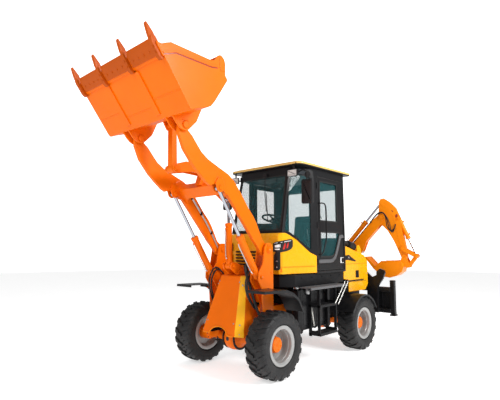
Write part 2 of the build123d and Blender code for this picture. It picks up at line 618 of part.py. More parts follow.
with BuildPart() as air_cleaner:
    bar((-2100, 60, 1716), (-2100, 440, 1716), 78)
    bar((-2260, 470, 1682), (-2470, 470, 1636), 75)
    prism(side(), [(-2130, 1619.5), (-2070, 1634), (-2070, 1680), (-2130, 1680)], -280, -220)
    prism(side(), [(-2380, 1559), (-2300, 1578.5), (-2300, 1640), (-2380, 1620)], -500, -440)
    bar((-2250, -300, 1600), (-2250, -300, 1960), 34)
save(air_cleaner.part, "air_cleaner")

ARC = [(-WHEELBASE + 452 * math.cos(math.radians(a)), 420 + 452 * math.sin(math.radians(a))) for a in (28, 50, 72, 90, 108, 130, 152)]
with BuildPart() as rear_fenders:
    for s in (1, -1):
        a, b = sorted((s * 345, s * 835))
        prism(side(), band(ARC, -8), a, b)
save(rear_fenders.part, "rear_fenders")

with BuildPart() as side_tanks:
    for s in (1, -1):
        # the front inner corner is cut back to let the front frame swing
        prism(flat(), [(-1480, s * 350), (-830, s * 350), (-640, s * 478), (-640, s * 590), (-1480, s * 590)], 470, 1040)
        pin(flat(), (-690, s * 520), 40, 1039, 1078)
save(side_tanks.part, "side_tanks")

with BuildPart() as side_steps:
    for s in (1, -1):
        a, b = sorted((s * 592, s * 790))
        for z in (790, 400):
            block(-1340, -880, a, b, z, z + 25)
        for x in (-1340, -900):
            block(x, x + 20, a, b, 380, 1060)
        a, b = sorted((s * 602, s * 810))
        block(-1640, -640, a, b, 1062, 1080)
save(side_steps.part, "side_steps")

with BuildPart() as mirrors:
    for s in (1, -1):
        bar((-698, s * 518, 2700), (-692, s * 532, 2700), 20)
        bar((-694, s * 526, 2700), (-620, s * 700, 2728), 9)
        ball((-620, s * 700, 2728), 13)
        bar((-620, s * 700, 2728), (-605, s * 790, 2703), 9)
        ball((-605, s * 790, 2703), 13)
        bar((-605, s * 790, 2703), (-605, s * 790, 2400), 9)
        a, b = sorted((s * 692, s * 888))
        block(-625, -585, a, b, 2240, 2590)
save(mirrors.part, "rear_view_mirrors")

with BuildPart() as work_lamps:
    for s in (1, -1):
        a, b = sorted((s * 484, s * 656))
        block(-592, -550, a, b, 2640, 2745)
        a, b = sorted((s * 560, s * 590))
        block(-592, -584, a, b, 2740, 2812)
save(work_lamps.part, "work_lamps")

# ================================================================ backhoe frame
LEG_Y = 955.0                   # stabiliser centre plane
with BuildPart() as slide_frame:
    block(-2990, -2896, -920, 920, 860, 940)
    block(-2990, -2896, -920, 920, 500, 570)
    for s in (1, -1):
        # housings for the telescopic legs
        a, b = sorted((s * (LEG_Y - 38), s * (LEG_Y + 38)))
        block(-2990, -2914, a, b, 490, 1060)
        # inner uprights and the ribbed end panels
        a, b = sorted((s * 530, s * 680))
        block(-2985, -2896, a, b, 560, 870)
        a, b = sorted((s * 670, s * 920))
        block(-2975, -2960, a, b, 560, 870)
        # slanted post in front of the frame
        post = [(530, 500), (730, 500), (730, 935), (762, 992), (828, 1083), (869, 1188), (861, 1231), (780, 1263),
                (716, 1208), (714, 1147), (622, 1108), (530, 1192)]
        prism(front(), [(s * y, z) for y, z in post], -2884, -2830)
        a, b = sorted((s * 530, s * 730))
        block(-2900, -2880, a, b, 860, 938)
        block(-2900, -2880, a, b, 505, 570)
    for s in (1, -1):
        c = s * LEG_Y
        block(-2981, -2923, c - 29, c + 29, 480, 1045, mode=Mode.SUBTRACT)
save(slide_frame.part, "slide_frame")

for s, nm in ((1, "left_stabiliser"), (-1, "right_stabiliser")):
    with BuildPart() as leg:
        c = s * LEG_Y
        block(-2979, -2925, c - 27, c + 27, 480, 1036)
        block(-3007, -2897, c - 47.5, c + 47.5, 455, 483)
    save(leg.part, nm)

with BuildPart() as carriage:
    yc = SWING_Y
    block(-3040, -2996, yc - 190, yc + 190, 480, 985)
    block(-3040, -2890, yc - 190, yc + 190, 946, 985)
    for z0, z1 in ((860, 900), (560, 600)):
        with BuildSketch(flat(z0)):
            with Locations((SWING_X, yc)):
                Circle(75)
            with Locations(((SWING_X - 3030) / 2, yc)):
                Rectangle(-3030 - SWING_X, 150)
        extrude(amount=z1 - z0)
    pin(flat(), (SWING_X, yc), 30, 545, 915)
save(carriage.part, "backhoe_carriage")

with BuildPart() as swing_post:
    for z0, z1 in ((905, 945), (815, 855), (605, 645)):
        pin(flat(), (SWING_X, SWING_Y), 68, z0, z1)
    prism(digging(), [(-60, 605), (-60, 645), (140, 645), (140, 605)], -60, 60)
    prism(digging(), [(0, 815), (0, 855), (140, 855), (140, 815)], -60, 60)
    prism(digging(), [(-68, 905), (-68, 945), (120, 945), (120, 905)], -64, 64)
    for s in (1, -1):
        a, b = sorted((s * 88, s * 112))
        prism(digging(), [(90, 605), (90, 905), (10, 905), (0, 1000), (22, 1180), (50, 1222), (110, 1222),
                          (150, 1190), (225, 930), (225, 605)], a, b)
    prism(digging(), [(110, 605), (110, 860), (140, 860), (140, 605)], -110, 110)
    prism(digging(), [(12, 905), (12, 945), (60, 945), (60, 905)], -110, 110)
    pin(digging(), BOOM_F, 28, -128, 128)
    pin(digging(), BOOM_B, 18, -124, 124)
    pin(flat(), (SWING_X, SWING_Y), 30 + GAP, 400, 1100, mode=Mode.SUBTRACT)
save(swing_post.part, "swing_post")

# ================================================================ backhoe arm
with BuildPart() as boom:
    prism(digging(), [along(BOOM_F, BOOM_D, -60, 0), along(BOOM_F, BOOM_D, -40, -50), along(BOOM_F, BOOM_D, 120, -78),
                      along(BOOM_F, BOOM_D, 700, -92), along(BOOM_F, BOOM_D, 1300, -86), along(BOOM_F, BOOM_D, 1450, -62),
                      along(BOOM_F, BOOM_D, 1510, -20), along(BOOM_F, BOOM_D, 1510, 30), along(BOOM_F, BOOM_D, 1450, 66),
                      along(BOOM_F, BOOM_D, 1300, 86), along(BOOM_F, BOOM_D, 700, 92), along(BOOM_F, BOOM_D, 120, 78),
                      along(BOOM_F, BOOM_D, -40, 50)], -78, 78)
    # slot for the dipper, and the ears for the two cylinders
    pin(digging(), BOOM_D, 235, -64, 64, mode=Mode.SUBTRACT)
    for s in (1, -1):
        a, b = sorted((s * 56, s * 76))
        prism(digging(), [(255, 1600), (272, 1640), (318, 1650), (400, 1610), (470, 1560), (400, 1480), (330, 1420), (275, 1450)], a, b)
        prism(digging(), [(590, 1560), (610, 1520), (650, 1520), (690, 1570), (800, 1850), (640, 1800), (520, 1620)], a, b)
    pin(digging(), BOOM_K, 52, -56, 56, mode=Mode.SUBTRACT)
    # hollow for the end of the boom cylinder when the boom is down
    prism(digging(), [along(BOOM_K, BOOM_B_DOWN, -40, 58), along(BOOM_K, BOOM_B_DOWN, 150, 58),
                      along(BOOM_K, BOOM_B_DOWN, 150, -58), along(BOOM_K, BOOM_B_DOWN, -40, -58)], -56, 56, mode=Mode.SUBTRACT)
    pin(digging(), DIP_H, 18, -90, 90)
    pin(digging(), BOOM_F, 28 + GAP, -100, 100, mode=Mode.SUBTRACT)
    pin(digging(), BOOM_D, 28, -96, 96)
save(boom.part, "backhoe_boom")

DIPPER = [(1015, 2500), (1040, 2545), (1100, 2560), (1200, 2495), (1312, 2370), (1385, 2180), (1425, 1920), (1475, 1620),
          (1492, 1470), (1470, 1415), (1420, 1408), (1388, 1445), (1265, 1752), (1157, 1944), (1010, 2100), (985, 2200),
          (1005, 2330)]
with BuildPart() as dipper:
    prism(digging(), DIPPER, -58, 58)
    # pocket for the bucket cylinder, fork for its rod's lever, and the rod slot at the top
    prism(digging(), [(1308, 2165), (1320, 2240), (1450, 2240), (1500, 1800), (1466, 1770)], -48, 48, mode=Mode.SUBTRACT)
    pin(digging(), BKC_J, 62, -48, 48, mode=Mode.SUBTRACT)
    pin(digging(), DIP_E, 66, -44, 44, mode=Mode.SUBTRACT)
    prism(digging(), [(1100, 2356), (1131, 2390), (1135, 2440), (1128, 2600), (900, 2650), (700, 2200), (985, 2290)], -44, 44, mode=Mode.SUBTRACT)
    pin(digging(), BKC_J, 18, -70, 70)
    pin(digging(), BOOM_D, 28 + GAP, -100, 100, mode=Mode.SUBTRACT)
    pin(digging(), DIP_G, 25, -92, 92)
    pin(digging(), LEV_V, 20, -92, 92)
save(dipper.part, "backhoe_dipper")

with BuildPart() as bucket_lever:
    for s in (1, -1):
        a, b = sorted((s * 62, s * 80))
        prism(digging(), strap(LEV_V, LEV_N, 34, 34), a, b)
        pin(digging(), LEV_V, 40, a, b)
        pin(digging(), LEV_N, 40, a, b)
    for a, b in ((-98, -39), (39, 98)):
        pin(digging(), LEV_N, 18, a, b)
    pin(digging(), LEV_V, 20 + GAP, -100, 100, mode=Mode.SUBTRACT)
save(bucket_lever.part, "bucket_lever")

with BuildPart() as dig_link:
    for s in (1, -1):
        a, b = sorted((s * 40, s * 56))
        prism(digging(), strap(LEV_N, DB_U, 28, 28), a, b)
        pin(digging(), LEV_N, 36, a, b)
        pin(digging(), DB_U, 36, a, b)
    pin(digging(), along(LEV_N, DB_U, 120), 16, -45, 45)
    pin(digging(), LEV_N, 18 + GAP, -100, 100, mode=Mode.SUBTRACT)
    pin(digging(), DB_U, 18, -100, 100, mode=Mode.SUBTRACT)
save(dig_link.part, "bucket_drive_link")

DIG = [(1375, 1395), (1425, 1345), (1442, 1280), (1412, 1195), (1320, 1122), (1200, 1085), (1090, 1100), (990, 1165),
       (900, 1265)]
with BuildPart() as dig_bucket:
    prism(digging(), band(DIG, -12), -DIG_HW, DIG_HW)
    for s in (1, -1):
        a, b = sorted((s * DIG_HW, s * (DIG_HW - 12)))
        prism(digging(), DIG + [(930, 1270), (1060, 1385), (1230, 1390)], a, b)
        a, b = sorted((s * 86, s * 104))
        prism(digging(), [(1380, 1395), (1400, 1470), (1430, 1500), (1465, 1495), (1490, 1440), (1540, 1310),
                          (1530, 1275), (1480, 1262), (1440, 1300)], a, b)
        pin(digging(), DIP_G, 25 + GAP, a - 5, b + 5, mode=Mode.SUBTRACT)
        a, b = sorted((s * 60, s * 104))
        pin(digging(), DB_U, 30, a, b)
    for w in (-150, -50, 50, 150):
        prism(digging(), [(1000, 1150), (900, 1245), (755, 1450), (765, 1456), (925, 1290), (1020, 1180)], w - 22, w + 22)
save(dig_bucket.part, "backhoe_bucket")

# ================================================================ backhoe cylinders
for base, tip, rb, rr, length, er, ew, nb, nr in (
    (BOOM_B, BOOM_K, 46, 22, 440, 42, 100, "boom_cylinder_barrel", "boom_cylinder_rod"),
    (DIP_H, DIP_E, 44, 20, 690, 40, 80, "dipper_cylinder_barrel", "dipper_cylinder_rod"),
    (BKC_J, LEV_N, 36, 17, 410, 34, 70, "bucket_cylinder_barrel", "bucket_cylinder_rod"),
):
    b, r = cylinder_pair(digging(), base, tip, 0, rb, rr, length, er, ew, nb, nr)
    save(b.part, nb)
    save(r.part, nr)
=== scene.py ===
import bpy, bmesh, json, math, random
from mathutils import Vector, Matrix


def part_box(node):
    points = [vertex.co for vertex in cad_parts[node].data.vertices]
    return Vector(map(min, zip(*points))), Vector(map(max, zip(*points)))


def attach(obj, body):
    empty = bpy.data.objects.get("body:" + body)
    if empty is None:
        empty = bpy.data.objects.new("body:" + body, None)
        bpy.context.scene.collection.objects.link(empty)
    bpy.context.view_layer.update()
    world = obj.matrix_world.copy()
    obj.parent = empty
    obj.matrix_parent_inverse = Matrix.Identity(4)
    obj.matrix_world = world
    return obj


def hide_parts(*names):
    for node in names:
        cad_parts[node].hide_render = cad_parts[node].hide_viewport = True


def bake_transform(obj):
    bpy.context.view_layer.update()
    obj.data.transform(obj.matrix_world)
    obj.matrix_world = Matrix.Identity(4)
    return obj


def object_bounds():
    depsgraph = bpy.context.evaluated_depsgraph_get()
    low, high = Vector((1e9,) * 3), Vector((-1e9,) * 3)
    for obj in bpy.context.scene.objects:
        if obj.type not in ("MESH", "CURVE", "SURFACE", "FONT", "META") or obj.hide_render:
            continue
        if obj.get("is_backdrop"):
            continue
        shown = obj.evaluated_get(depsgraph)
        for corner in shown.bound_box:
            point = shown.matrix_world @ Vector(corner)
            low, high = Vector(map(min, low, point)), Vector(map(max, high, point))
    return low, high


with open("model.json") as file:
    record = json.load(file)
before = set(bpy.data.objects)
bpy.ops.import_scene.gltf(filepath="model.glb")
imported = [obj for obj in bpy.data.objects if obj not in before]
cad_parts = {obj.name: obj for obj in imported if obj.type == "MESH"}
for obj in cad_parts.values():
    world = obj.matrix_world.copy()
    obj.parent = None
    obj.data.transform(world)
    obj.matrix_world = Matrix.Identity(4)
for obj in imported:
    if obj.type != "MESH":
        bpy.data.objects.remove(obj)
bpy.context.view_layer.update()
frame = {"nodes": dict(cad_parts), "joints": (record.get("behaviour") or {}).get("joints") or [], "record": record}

random.seed(7)
NODES = frame["nodes"]
JOINT = {j["name"]: j for j in frame["joints"]}
MADE = []

# ------------------------------------------------------------------ places
_l, _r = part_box("front_left_tyre"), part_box("front_right_tyre")
SX = (_l[0].x + _l[1].x) / 2
SY = (_l[1].y + _r[0].y) / 2
SIG = math.radians(80)
SWING = Vector(JOINT["backhoe_swing"]["pos_m"])
R_DIR = Vector((-math.cos(SIG), math.sin(SIG), 0))
N_DIR = Vector((math.sin(SIG), math.cos(SIG), 0))


def W(x, y, z):
    """Machine coordinates (front axle centre, centre plane, ground) to the row frame."""
    return Vector((x + SX, y + SY, z))


def D(r, z, w=0.0):
    """Backhoe plane: r out from the swing axis, z up, w across."""
    return Vector((SWING.x, SWING.y, 0)) + R_DIR * r + N_DIR * w + Vector((0, 0, z))


# ------------------------------------------------------------------ materials
def _nodes(name):
    m = bpy.data.materials.new(name)
    m.use_nodes = True
    nt = m.node_tree
    nt.nodes.clear()
    out = nt.nodes.new("ShaderNodeOutputMaterial")
    bsdf = nt.nodes.new("ShaderNodeBsdfPrincipled")
    nt.links.new(bsdf.outputs[0], out.inputs[0])
    return m, nt, bsdf


def _noise(nt, scale, detail=4.0, rough=0.55, dist=0.0, vec=None):
    n = nt.nodes.new("ShaderNodeTexNoise")
    n.inputs["Scale"].default_value = scale
    n.inputs["Detail"].default_value = detail
    n.inputs["Roughness"].default_value = rough
    n.inputs["Distortion"].default_value = dist
    if vec is None:
        tc = nt.nodes.new("ShaderNodeTexCoord")
        vec = tc.outputs["Object"]
    nt.links.new(vec, n.inputs["Vector"])
    return n.outputs["Fac"]


def _map(nt, fac, a, b, c=0.0, d=1.0):
    n = nt.nodes.new("ShaderNodeMapRange")
    n.inputs["From Min"].default_value = a
    n.inputs["From Max"].default_value = b
    n.inputs["To Min"].default_value = c
    n.inputs["To Max"].default_value = d
    nt.links.new(fac, n.inputs["Value"])
    return n.outputs["Result"]


def _mix(nt, fac, a, b):
    n = nt.nodes.new("ShaderNodeMix")
    n.data_type = "RGBA"
    for sock, v in ((n.inputs[6], a), (n.inputs[7], b)):
        if isinstance(v, tuple):
            sock.default_value = (*v, 1.0)
        else:
            nt.links.new(v, sock)
    if isinstance(fac, float):
        n.inputs[0].default_value = fac
    else:
        nt.links.new(fac, n.inputs[0])
    return n.outputs[2]


def _math(nt, op, a, b):
    n = nt.nodes.new("ShaderNodeMath")
    n.operation = op
    for i, v in enumerate((a, b)):
        if isinstance(v, (int, float)):
            n.inputs[i].default_value = v
        else:
            nt.links.new(v, n.inputs[i])
    return n.outputs[0]


def _bump(nt, bsdf, heights):
    """heights: (socket, strength, distance), stacked."""
    last = None
    for h, s, dist in heights:
        b = nt.nodes.new("ShaderNodeBump")
        b.inputs["Strength"].default_value = s
        b.inputs["Distance"].default_value = dist
        nt.links.new(h, b.inputs["Height"])
        if last:
            nt.links.new(last, b.inputs["Normal"])
        last = b.outputs["Normal"]
    nt.links.new(last, bsdf.inputs["Normal"])


def _scale(c, k):
    return tuple(min(1.0, v * k) for v in c)


def paint(name, col, rough=(0.28, 0.42), coat=0.25, dust=0.10, metal=0.0, var=0.07, wave=0.04, dust_col=(0.42, 0.36, 0.30), split=None, spec=0.22):
    """Sprayed metal: slight colour drift, orange-peel, a little dust where it faces up."""
    m, nt, b = _nodes(name)
    n1 = _noise(nt, 1.7, 4, 0.6)
    n2 = _noise(nt, 14.0, 5, 0.6)
    col_hi, col_lo = _scale(col, 1 + var), _scale(col, 1 - var)
    c = _mix(nt, _map(nt, n1, 0.3, 0.7), col_lo, col_hi)
    if split:
        z0, other = split
        geo = nt.nodes.new("ShaderNodeNewGeometry")
        tc = nt.nodes.new("ShaderNodeTexCoord")
        sep = nt.nodes.new("ShaderNodeSeparateXYZ")
        nt.links.new(tc.outputs["Object"], sep.inputs[0])
        c = _mix(nt, _map(nt, sep.outputs["Z"], z0 - 0.002, z0 + 0.002), other, c)
    geo = nt.nodes.new("ShaderNodeNewGeometry")
    sep = nt.nodes.new("ShaderNodeSeparateXYZ")
    nt.links.new(geo.outputs["Normal"], sep.inputs[0])
    up = _map(nt, sep.outputs["Z"], 0.2, 1.0)
    grime = _math(nt, "MULTIPLY", up, _map(nt, n2, 0.42, 0.72))
    fac = _math(nt, "MULTIPLY", grime, dust)
    c = _mix(nt, fac, c, dust_col)
    nt.links.new(c, b.inputs["Base Color"])
    r = _map(nt, n2, 0.3, 0.75, rough[0], rough[1])
    nt.links.new(r, b.inputs["Roughness"])
    b.inputs["Metallic"].default_value = metal
    b.inputs["Coat Weight"].default_value = coat
    b.inputs["Coat Roughness"].default_value = 0.12
    b.inputs["Specular IOR Level"].default_value = spec
    _bump(nt, b, [(_noise(nt, 3.0, 2, 0.5), wave, 0.01), (_noise(nt, 260.0, 2, 0.5), 0.05, 0.0006)])
    return m


def rubber(name, col=(0.011, 0.011, 0.012), dusty=0.22):
    m, nt, b = _nodes(name)
    n1 = _noise(nt, 5.0, 5, 0.65)
    n2 = _noise(nt, 60.0, 4, 0.6)
    c = _mix(nt, _map(nt, n1, 0.35, 0.7, 0.0, dusty), col, (0.050, 0.047, 0.043))
    c = _mix(nt, _map(nt, n2, 0.55, 0.8, 0.0, 0.18), c, (0.080, 0.076, 0.070))
    nt.links.new(c, b.inputs["Base Color"])
    nt.links.new(_map(nt, n2, 0.3, 0.7, 0.42, 0.70), b.inputs["Roughness"])
    b.inputs["Specular IOR Level"].default_value = 0.32
    _bump(nt, b, [(n2, 0.25, 0.0015), (_noise(nt, 420.0, 2, 0.5), 0.15, 0.0006)])
    return m


def metal(name, col, rough=(0.15, 0.3), stretch=(1, 1, 1), bump=0.05):
    m, nt, b = _nodes(name)
    tc = nt.nodes.new("ShaderNodeTexCoord")
    mp = nt.nodes.new("ShaderNodeMapping")
    mp.inputs["Scale"].default_value = stretch
    nt.links.new(tc.outputs["Object"], mp.inputs["Vector"])
    n1 = _noise(nt, 30.0, 5, 0.6, vec=mp.outputs["Vector"])
    nt.links.new(_mix(nt, n1, _scale(col, 0.86), _scale(col, 1.08)), b.inputs["Base Color"])
    nt.links.new(_map(nt, n1, 0.3, 0.7, rough[0], rough[1]), b.inputs["Roughness"])
    b.inputs["Metallic"].default_value = 1.0
    _bump(nt, b, [(n1, bump, 0.001)])
    return m


def plastic(name, col, rough=(0.4, 0.55), grain=380.0, bump=0.12, coat=0.0):
    m, nt, b = _nodes(name)
    n1 = _noise(nt, 6.0, 4, 0.6)
    n2 = _noise(nt, grain, 3, 0.55)
    nt.links.new(_mix(nt, _map(nt, n1, 0.3, 0.7), _scale(col, 0.85), _scale(col, 1.15)), b.inputs["Base Color"])
    nt.links.new(_map(nt, n1, 0.3, 0.7, rough[0], rough[1]), b.inputs["Roughness"])
    b.inputs["Coat Weight"].default_value = coat
    b.inputs["Specular IOR Level"].default_value = 0.3
    _bump(nt, b, [(n2, bump, 0.0008)])
    return m


def glazing(name, col, alpha):
    m, nt, b = _nodes(name)
    n1 = _noise(nt, 2.5, 3, 0.5)
    nt.links.new(_mix(nt, n1, _scale(col, 0.9), _scale(col, 1.1)), b.inputs["Base Color"])
    nt.links.new(_map(nt, n1, 0.3, 0.7, 0.02, 0.06), b.inputs["Roughness"])
    b.inputs["Alpha"].default_value = alpha
    b.inputs["IOR"].default_value = 1.5
    m.surface_render_method = "BLENDED"
    return m


ORANGE = (0.82, 0.148, 0.001)
YELLOW = (0.90, 0.400, 0.003)
AMBER = (0.86, 0.235, 0.002)
BLACK = (0.007, 0.007, 0.008)
M = {
    "orange": paint("paint_orange", ORANGE, coat=0.05, dust=0.04, spec=0.12),
    "yellow": paint("paint_yellow", YELLOW, rough=(0.22, 0.34), coat=0.25, dust=0.03),
    # painted highlight: a brighter, yellower copy of the orange paint for the nose cover's chamfer strips, standing in
    # for the strong light that falls on them
    "bright": paint("chamfer_painted_highlight", (0.97, 0.46, 0.012), rough=(0.25, 0.36), coat=0.2, dust=0.02),
    "amber": paint("paint_amber", AMBER, coat=0.05, dust=0.04, spec=0.12),
    "cream": paint("paint_roof", (0.78, 0.52, 0.16), rough=(0.35, 0.5), dust=0.2),
    "black": paint("paint_black", BLACK, rough=(0.32, 0.46), coat=0.08, dust=0.05, var=0.2, spec=0.22),
    "frame": paint("paint_frame", BLACK, rough=(0.45, 0.6), coat=0.0, dust=0.12, var=0.2, spec=0.2),
    "grey": paint("paint_grey", (0.10, 0.10, 0.105), rough=(0.4, 0.5), coat=0.1, dust=0.12, var=0.1),
    "rim": paint("rim_silver", (0.33, 0.33, 0.325), rough=(0.30, 0.42), coat=0.2, dust=0.1, metal=0.25),
    # darker orange for the bucket's edge segments and teeth: partly their own darker tone, partly painted shade
    # standing in for the shadow in the gaps between them
    "edge": paint("edge_paint_and_painted_shade", (0.46, 0.075, 0.002), coat=0.03, dust=0.03, spec=0.12, rough=(0.4, 0.55)),
    "darkred": paint("paint_shadow_red", (0.30, 0.035, 0.008), dust=0.0),
    "tyre": rubber("tyre_rubber"),
    "rubber": rubber("seal_rubber", (0.012, 0.012, 0.012), 0.12),
    "chrome": metal("rod_chrome", (0.42, 0.44, 0.48), (0.06, 0.14), (1, 1, 8), 0.01),
    "steel": metal("bright_steel", (0.55, 0.55, 0.55), (0.25, 0.42)),
    "zinc": metal("zinc_plate", (0.50, 0.49, 0.46), (0.32, 0.48)),
    "iron": paint("cast_iron", (0.03, 0.03, 0.03), rough=(0.55, 0.7), coat=0.0, dust=0.2, wave=0.1),
    "plastic": plastic("moulded_plastic", (0.010, 0.010, 0.011)),
    "trim": plastic("cab_trim", (0.018, 0.022, 0.026), (0.5, 0.65)),
    "white": plastic("white_mark", (0.80, 0.80, 0.80), (0.35, 0.45)),
    "red": plastic("red_mark", (0.55, 0.02, 0.015), (0.35, 0.45)),
    "vinyl": plastic("seat_vinyl", (0.012, 0.015, 0.018), (0.38, 0.55), grain=240.0, bump=0.3),
    "hose": rubber("hose_rubber", (0.014, 0.014, 0.014), 0.1),
    "glass": glazing("cab_tint", (0.03, 0.13, 0.14), 0.22),
    "lamp": glazing("lamp_lens", (0.85, 0.86, 0.84), 0.85),
    "mirror": metal("mirror_glass", (0.62, 0.66, 0.70), (0.02, 0.05), bump=0.0),
    "matte": plastic("vent_black", (0.006, 0.006, 0.006), (0.8, 0.9)),
}
M["tower"] = paint("paint_tower", ORANGE, coat=0.05, dust=0.04, spec=0.12, split=(0.64, BLACK))


# ------------------------------------------------------------------ mesh helpers
def put(me, name, body, mat, replaces=(), slot=None):
    o = bpy.data.objects.new(name, me)
    bpy.context.scene.collection.objects.link(o)
    me.materials.clear()
    me.materials.append(M[mat] if isinstance(mat, str) else mat)
    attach(o, body)
    if replaces:
        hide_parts(*replaces)
    MADE.append(o)
    return o


def shade(me, angle=38):
    for p in me.polygons:
        p.use_smooth = True
    me.set_sharp_from_angle(angle=math.radians(angle))


def weighted(o):
    """Flat faces stay flat beside small bevels."""
    md = o.modifiers.new("wn", "WEIGHTED_NORMAL")
    md.keep_sharp = True
    md.weight = 80
    bpy.context.view_layer.update()
    dg = bpy.context.evaluated_depsgraph_get()
    me = bpy.data.meshes.new_from_object(o.evaluated_get(dg), preserve_all_data_layers=True, depsgraph=dg)
    o.modifiers.clear()
    old = o.data
    o.data = me
    bpy.data.meshes.remove(old)
    return o


class Shape:
    """Collects solids in one mesh; points are given in the row frame."""

    def __init__(self):
        self.bm = bmesh.new()

    def _bevel(self, verts, width, segs=2, angle=28):
        if width <= 0:
            return
        vs = set(verts)
        es = [e for e in self.bm.edges if e.verts[0] in vs and e.verts[1] in vs and len(e.link_faces) == 2
              and e.calc_face_angle(0) > math.radians(angle)]
        if es:
            bmesh.ops.bevel(self.bm, geom=es, offset=width, segments=segs, profile=0.6, affect="EDGES", clamp_overlap=True)

    def hull(self, pts, bevel=0.0, segs=2):
        vs = [self.bm.verts.new(p) for p in pts]
        r = bmesh.ops.convex_hull(self.bm, input=vs, use_existing_faces=False)
        bmesh.ops.delete(self.bm, geom=[v for v in r["geom_interior"] if isinstance(v, bmesh.types.BMVert)], context="VERTS")
        good = [v for v in vs if v.is_valid]
        bmesh.ops.dissolve_limit(self.bm, angle_limit=math.radians(1), verts=good, edges=list({e for v in good for e in v.link_edges}))
        self._bevel([v for v in good if v.is_valid], bevel, segs)
        return self

    def box(self, x0, x1, y0, y1, z0, z1, bevel=0.003, segs=2, place=W):
        c = [(x, y, z) for x in (x0, x1) for y in (y0, y1) for z in (z0, z1)]
        return self.hull([place(*p) for p in c], bevel, segs)

    def prism(self, pts, a, b, place, bevel=0.003, segs=2):
        """pts: closed outline (u, v); place(u, v, w) gives the row frame; extruded from w=a to w=b."""
        lo = [self.bm.verts.new(place(u, v, a)) for u, v in pts]
        hi = [self.bm.verts.new(place(u, v, b)) for u, v in pts]
        n = len(pts)
        fs = [self.bm.faces.new(lo), self.bm.faces.new(hi[::-1])]
        for i in range(n):
            j = (i + 1) % n
            fs.append(self.bm.faces.new((lo[j], lo[i], hi[i], hi[j])))
        bmesh.ops.recalc_face_normals(self.bm, faces=fs)
        self._bevel(lo + hi, bevel, segs)
        return self

    def lathe(self, profile, origin, axis, seg=48, closed=True, ref=None):
        """profile: (along the axis, radius)."""
        axis = Vector(axis).normalized()
        u = axis.orthogonal().normalized() if ref is None else Vector(ref)
        v = axis.cross(u)
        rings = []
        for a, r in profile:
            if r < 1e-6:
                rings.append([self.bm.verts.new(Vector(origin) + axis * a)])
            else:
                rings.append([self.bm.verts.new(Vector(origin) + axis * a + (u * math.cos(t) + v * math.sin(t)) * r)
                              for t in (2 * math.pi * i / seg for i in range(seg))])
        fs = []
        pairs = list(zip(rings, rings[1:])) + ([(rings[-1], rings[0])] if closed and len(rings[0]) > 1 and len(rings[-1]) > 1 else [])
        for A, B in pairs:
            for i in range(seg):
                j = (i + 1) % seg
                q = [A[i % len(A)], A[j % len(A)], B[j % len(B)], B[i % len(B)]]
                q = list(dict.fromkeys(q))
                if len(q) > 2:
                    fs.append(self.bm.faces.new(q))
        bmesh.ops.recalc_face_normals(self.bm, faces=fs)
        return self

    def rod(self, p, q, r, seg=20, cap=0.0):
        p, q = Vector(p), Vector(q)
        L = (q - p).length
        c = min(cap if cap else r * 0.18, r * 0.5)
        return self.lathe([(0, 0), (0, r - c), (c, r), (L - c, r), (L, r - c), (L, 0)], p, q - p, seg, closed=False)

    def bolt(self, p, n, size=0.012, head=None, washer=True):
        """Hexagon head with a washer."""
        p, n = Vector(p), Vector(n).normalized()
        h = size * 0.62 if head is None else head
        if washer:
            self.lathe([(0, 0), (0, size * 1.15), (size * 0.16, size * 1.15), (size * 0.16, 0)], p, n, 18, closed=False)
        s = size * 0.16 if washer else 0.0
        self.lathe([(s, 0), (s, size * 0.9), (s + h * 0.85, size * 0.9), (s + h, size * 0.72), (s + h, 0)], p, n, 6, closed=False)
        return self

    def mesh(self, name, angle=38):
        me = bpy.data.meshes.new(name)
        bmesh.ops.remove_doubles(self.bm, verts=self.bm.verts, dist=1e-6)
        self.bm.to_mesh(me)
        self.bm.free()
        shade(me, angle)
        return me

    def done(self, name, body, mat, replaces=(), angle=38, wn=True):
        o = put(self.mesh(name, angle), name, body, mat, replaces)
        return weighted(o) if wn else o


def S(y=0.0):
    return lambda u, v, w: W(u, w, v)            # (x, z), across = y


def F():
    return lambda u, v, w: W(w, u, v)            # (y, z), across = x


def T():
    return lambda u, v, w: W(u, v, w)            # (x, y), across = z


def G():
    return lambda u, v, w: D(u, v, w)            # (r, z), across = w


def tube(name, body, mat, runs, radius, res=10, closed=False, blend=None, smooth=True, joined=True):
    """Round bars, pipes and hoses along smooth lines; runs is a list of point lists."""
    cu = bpy.data.curves.new(name, "CURVE")
    cu.dimensions = "3D"
    cu.bevel_depth = radius
    cu.bevel_resolution = max(1, res // 4)
    cu.use_fill_caps = True
    cu.resolution_u = 8
    for pts in runs:
        if smooth and len(pts) > 2:
            sp = cu.splines.new("NURBS")
            sp.points.add(len(pts) - 1)
            for i, p in enumerate(pts):
                sp.points[i].co = (*p, 1.0)
            sp.order_u = 3
            sp.use_endpoint_u = True
            sp.use_cyclic_u = closed
        else:
            sp = cu.splines.new("POLY")
            sp.points.add(len(pts) - 1)
            for i, p in enumerate(pts):
                sp.points[i].co = (*p, 1.0)
            sp.use_cyclic_u = closed
    tmp = bpy.data.objects.new(name + "_c", cu)
    bpy.context.scene.collection.objects.link(tmp)
    bpy.context.view_layer.update()
    dg = bpy.context.evaluated_depsgraph_get()
    me = bpy.data.meshes.new_from_object(tmp.evaluated_get(dg))
    bpy.data.objects.remove(tmp)
    bpy.data.curves.remove(cu)
    me.name = name
    for p in me.polygons:
        p.use_smooth = True
    if blend:
        o = bpy.data.objects.new(name, me)
        bpy.context.scene.collection.objects.link(o)
        me.materials.append(M[mat])
        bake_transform(o)
        MADE.append(o)
        return o
    return put(me, name, body, mat)


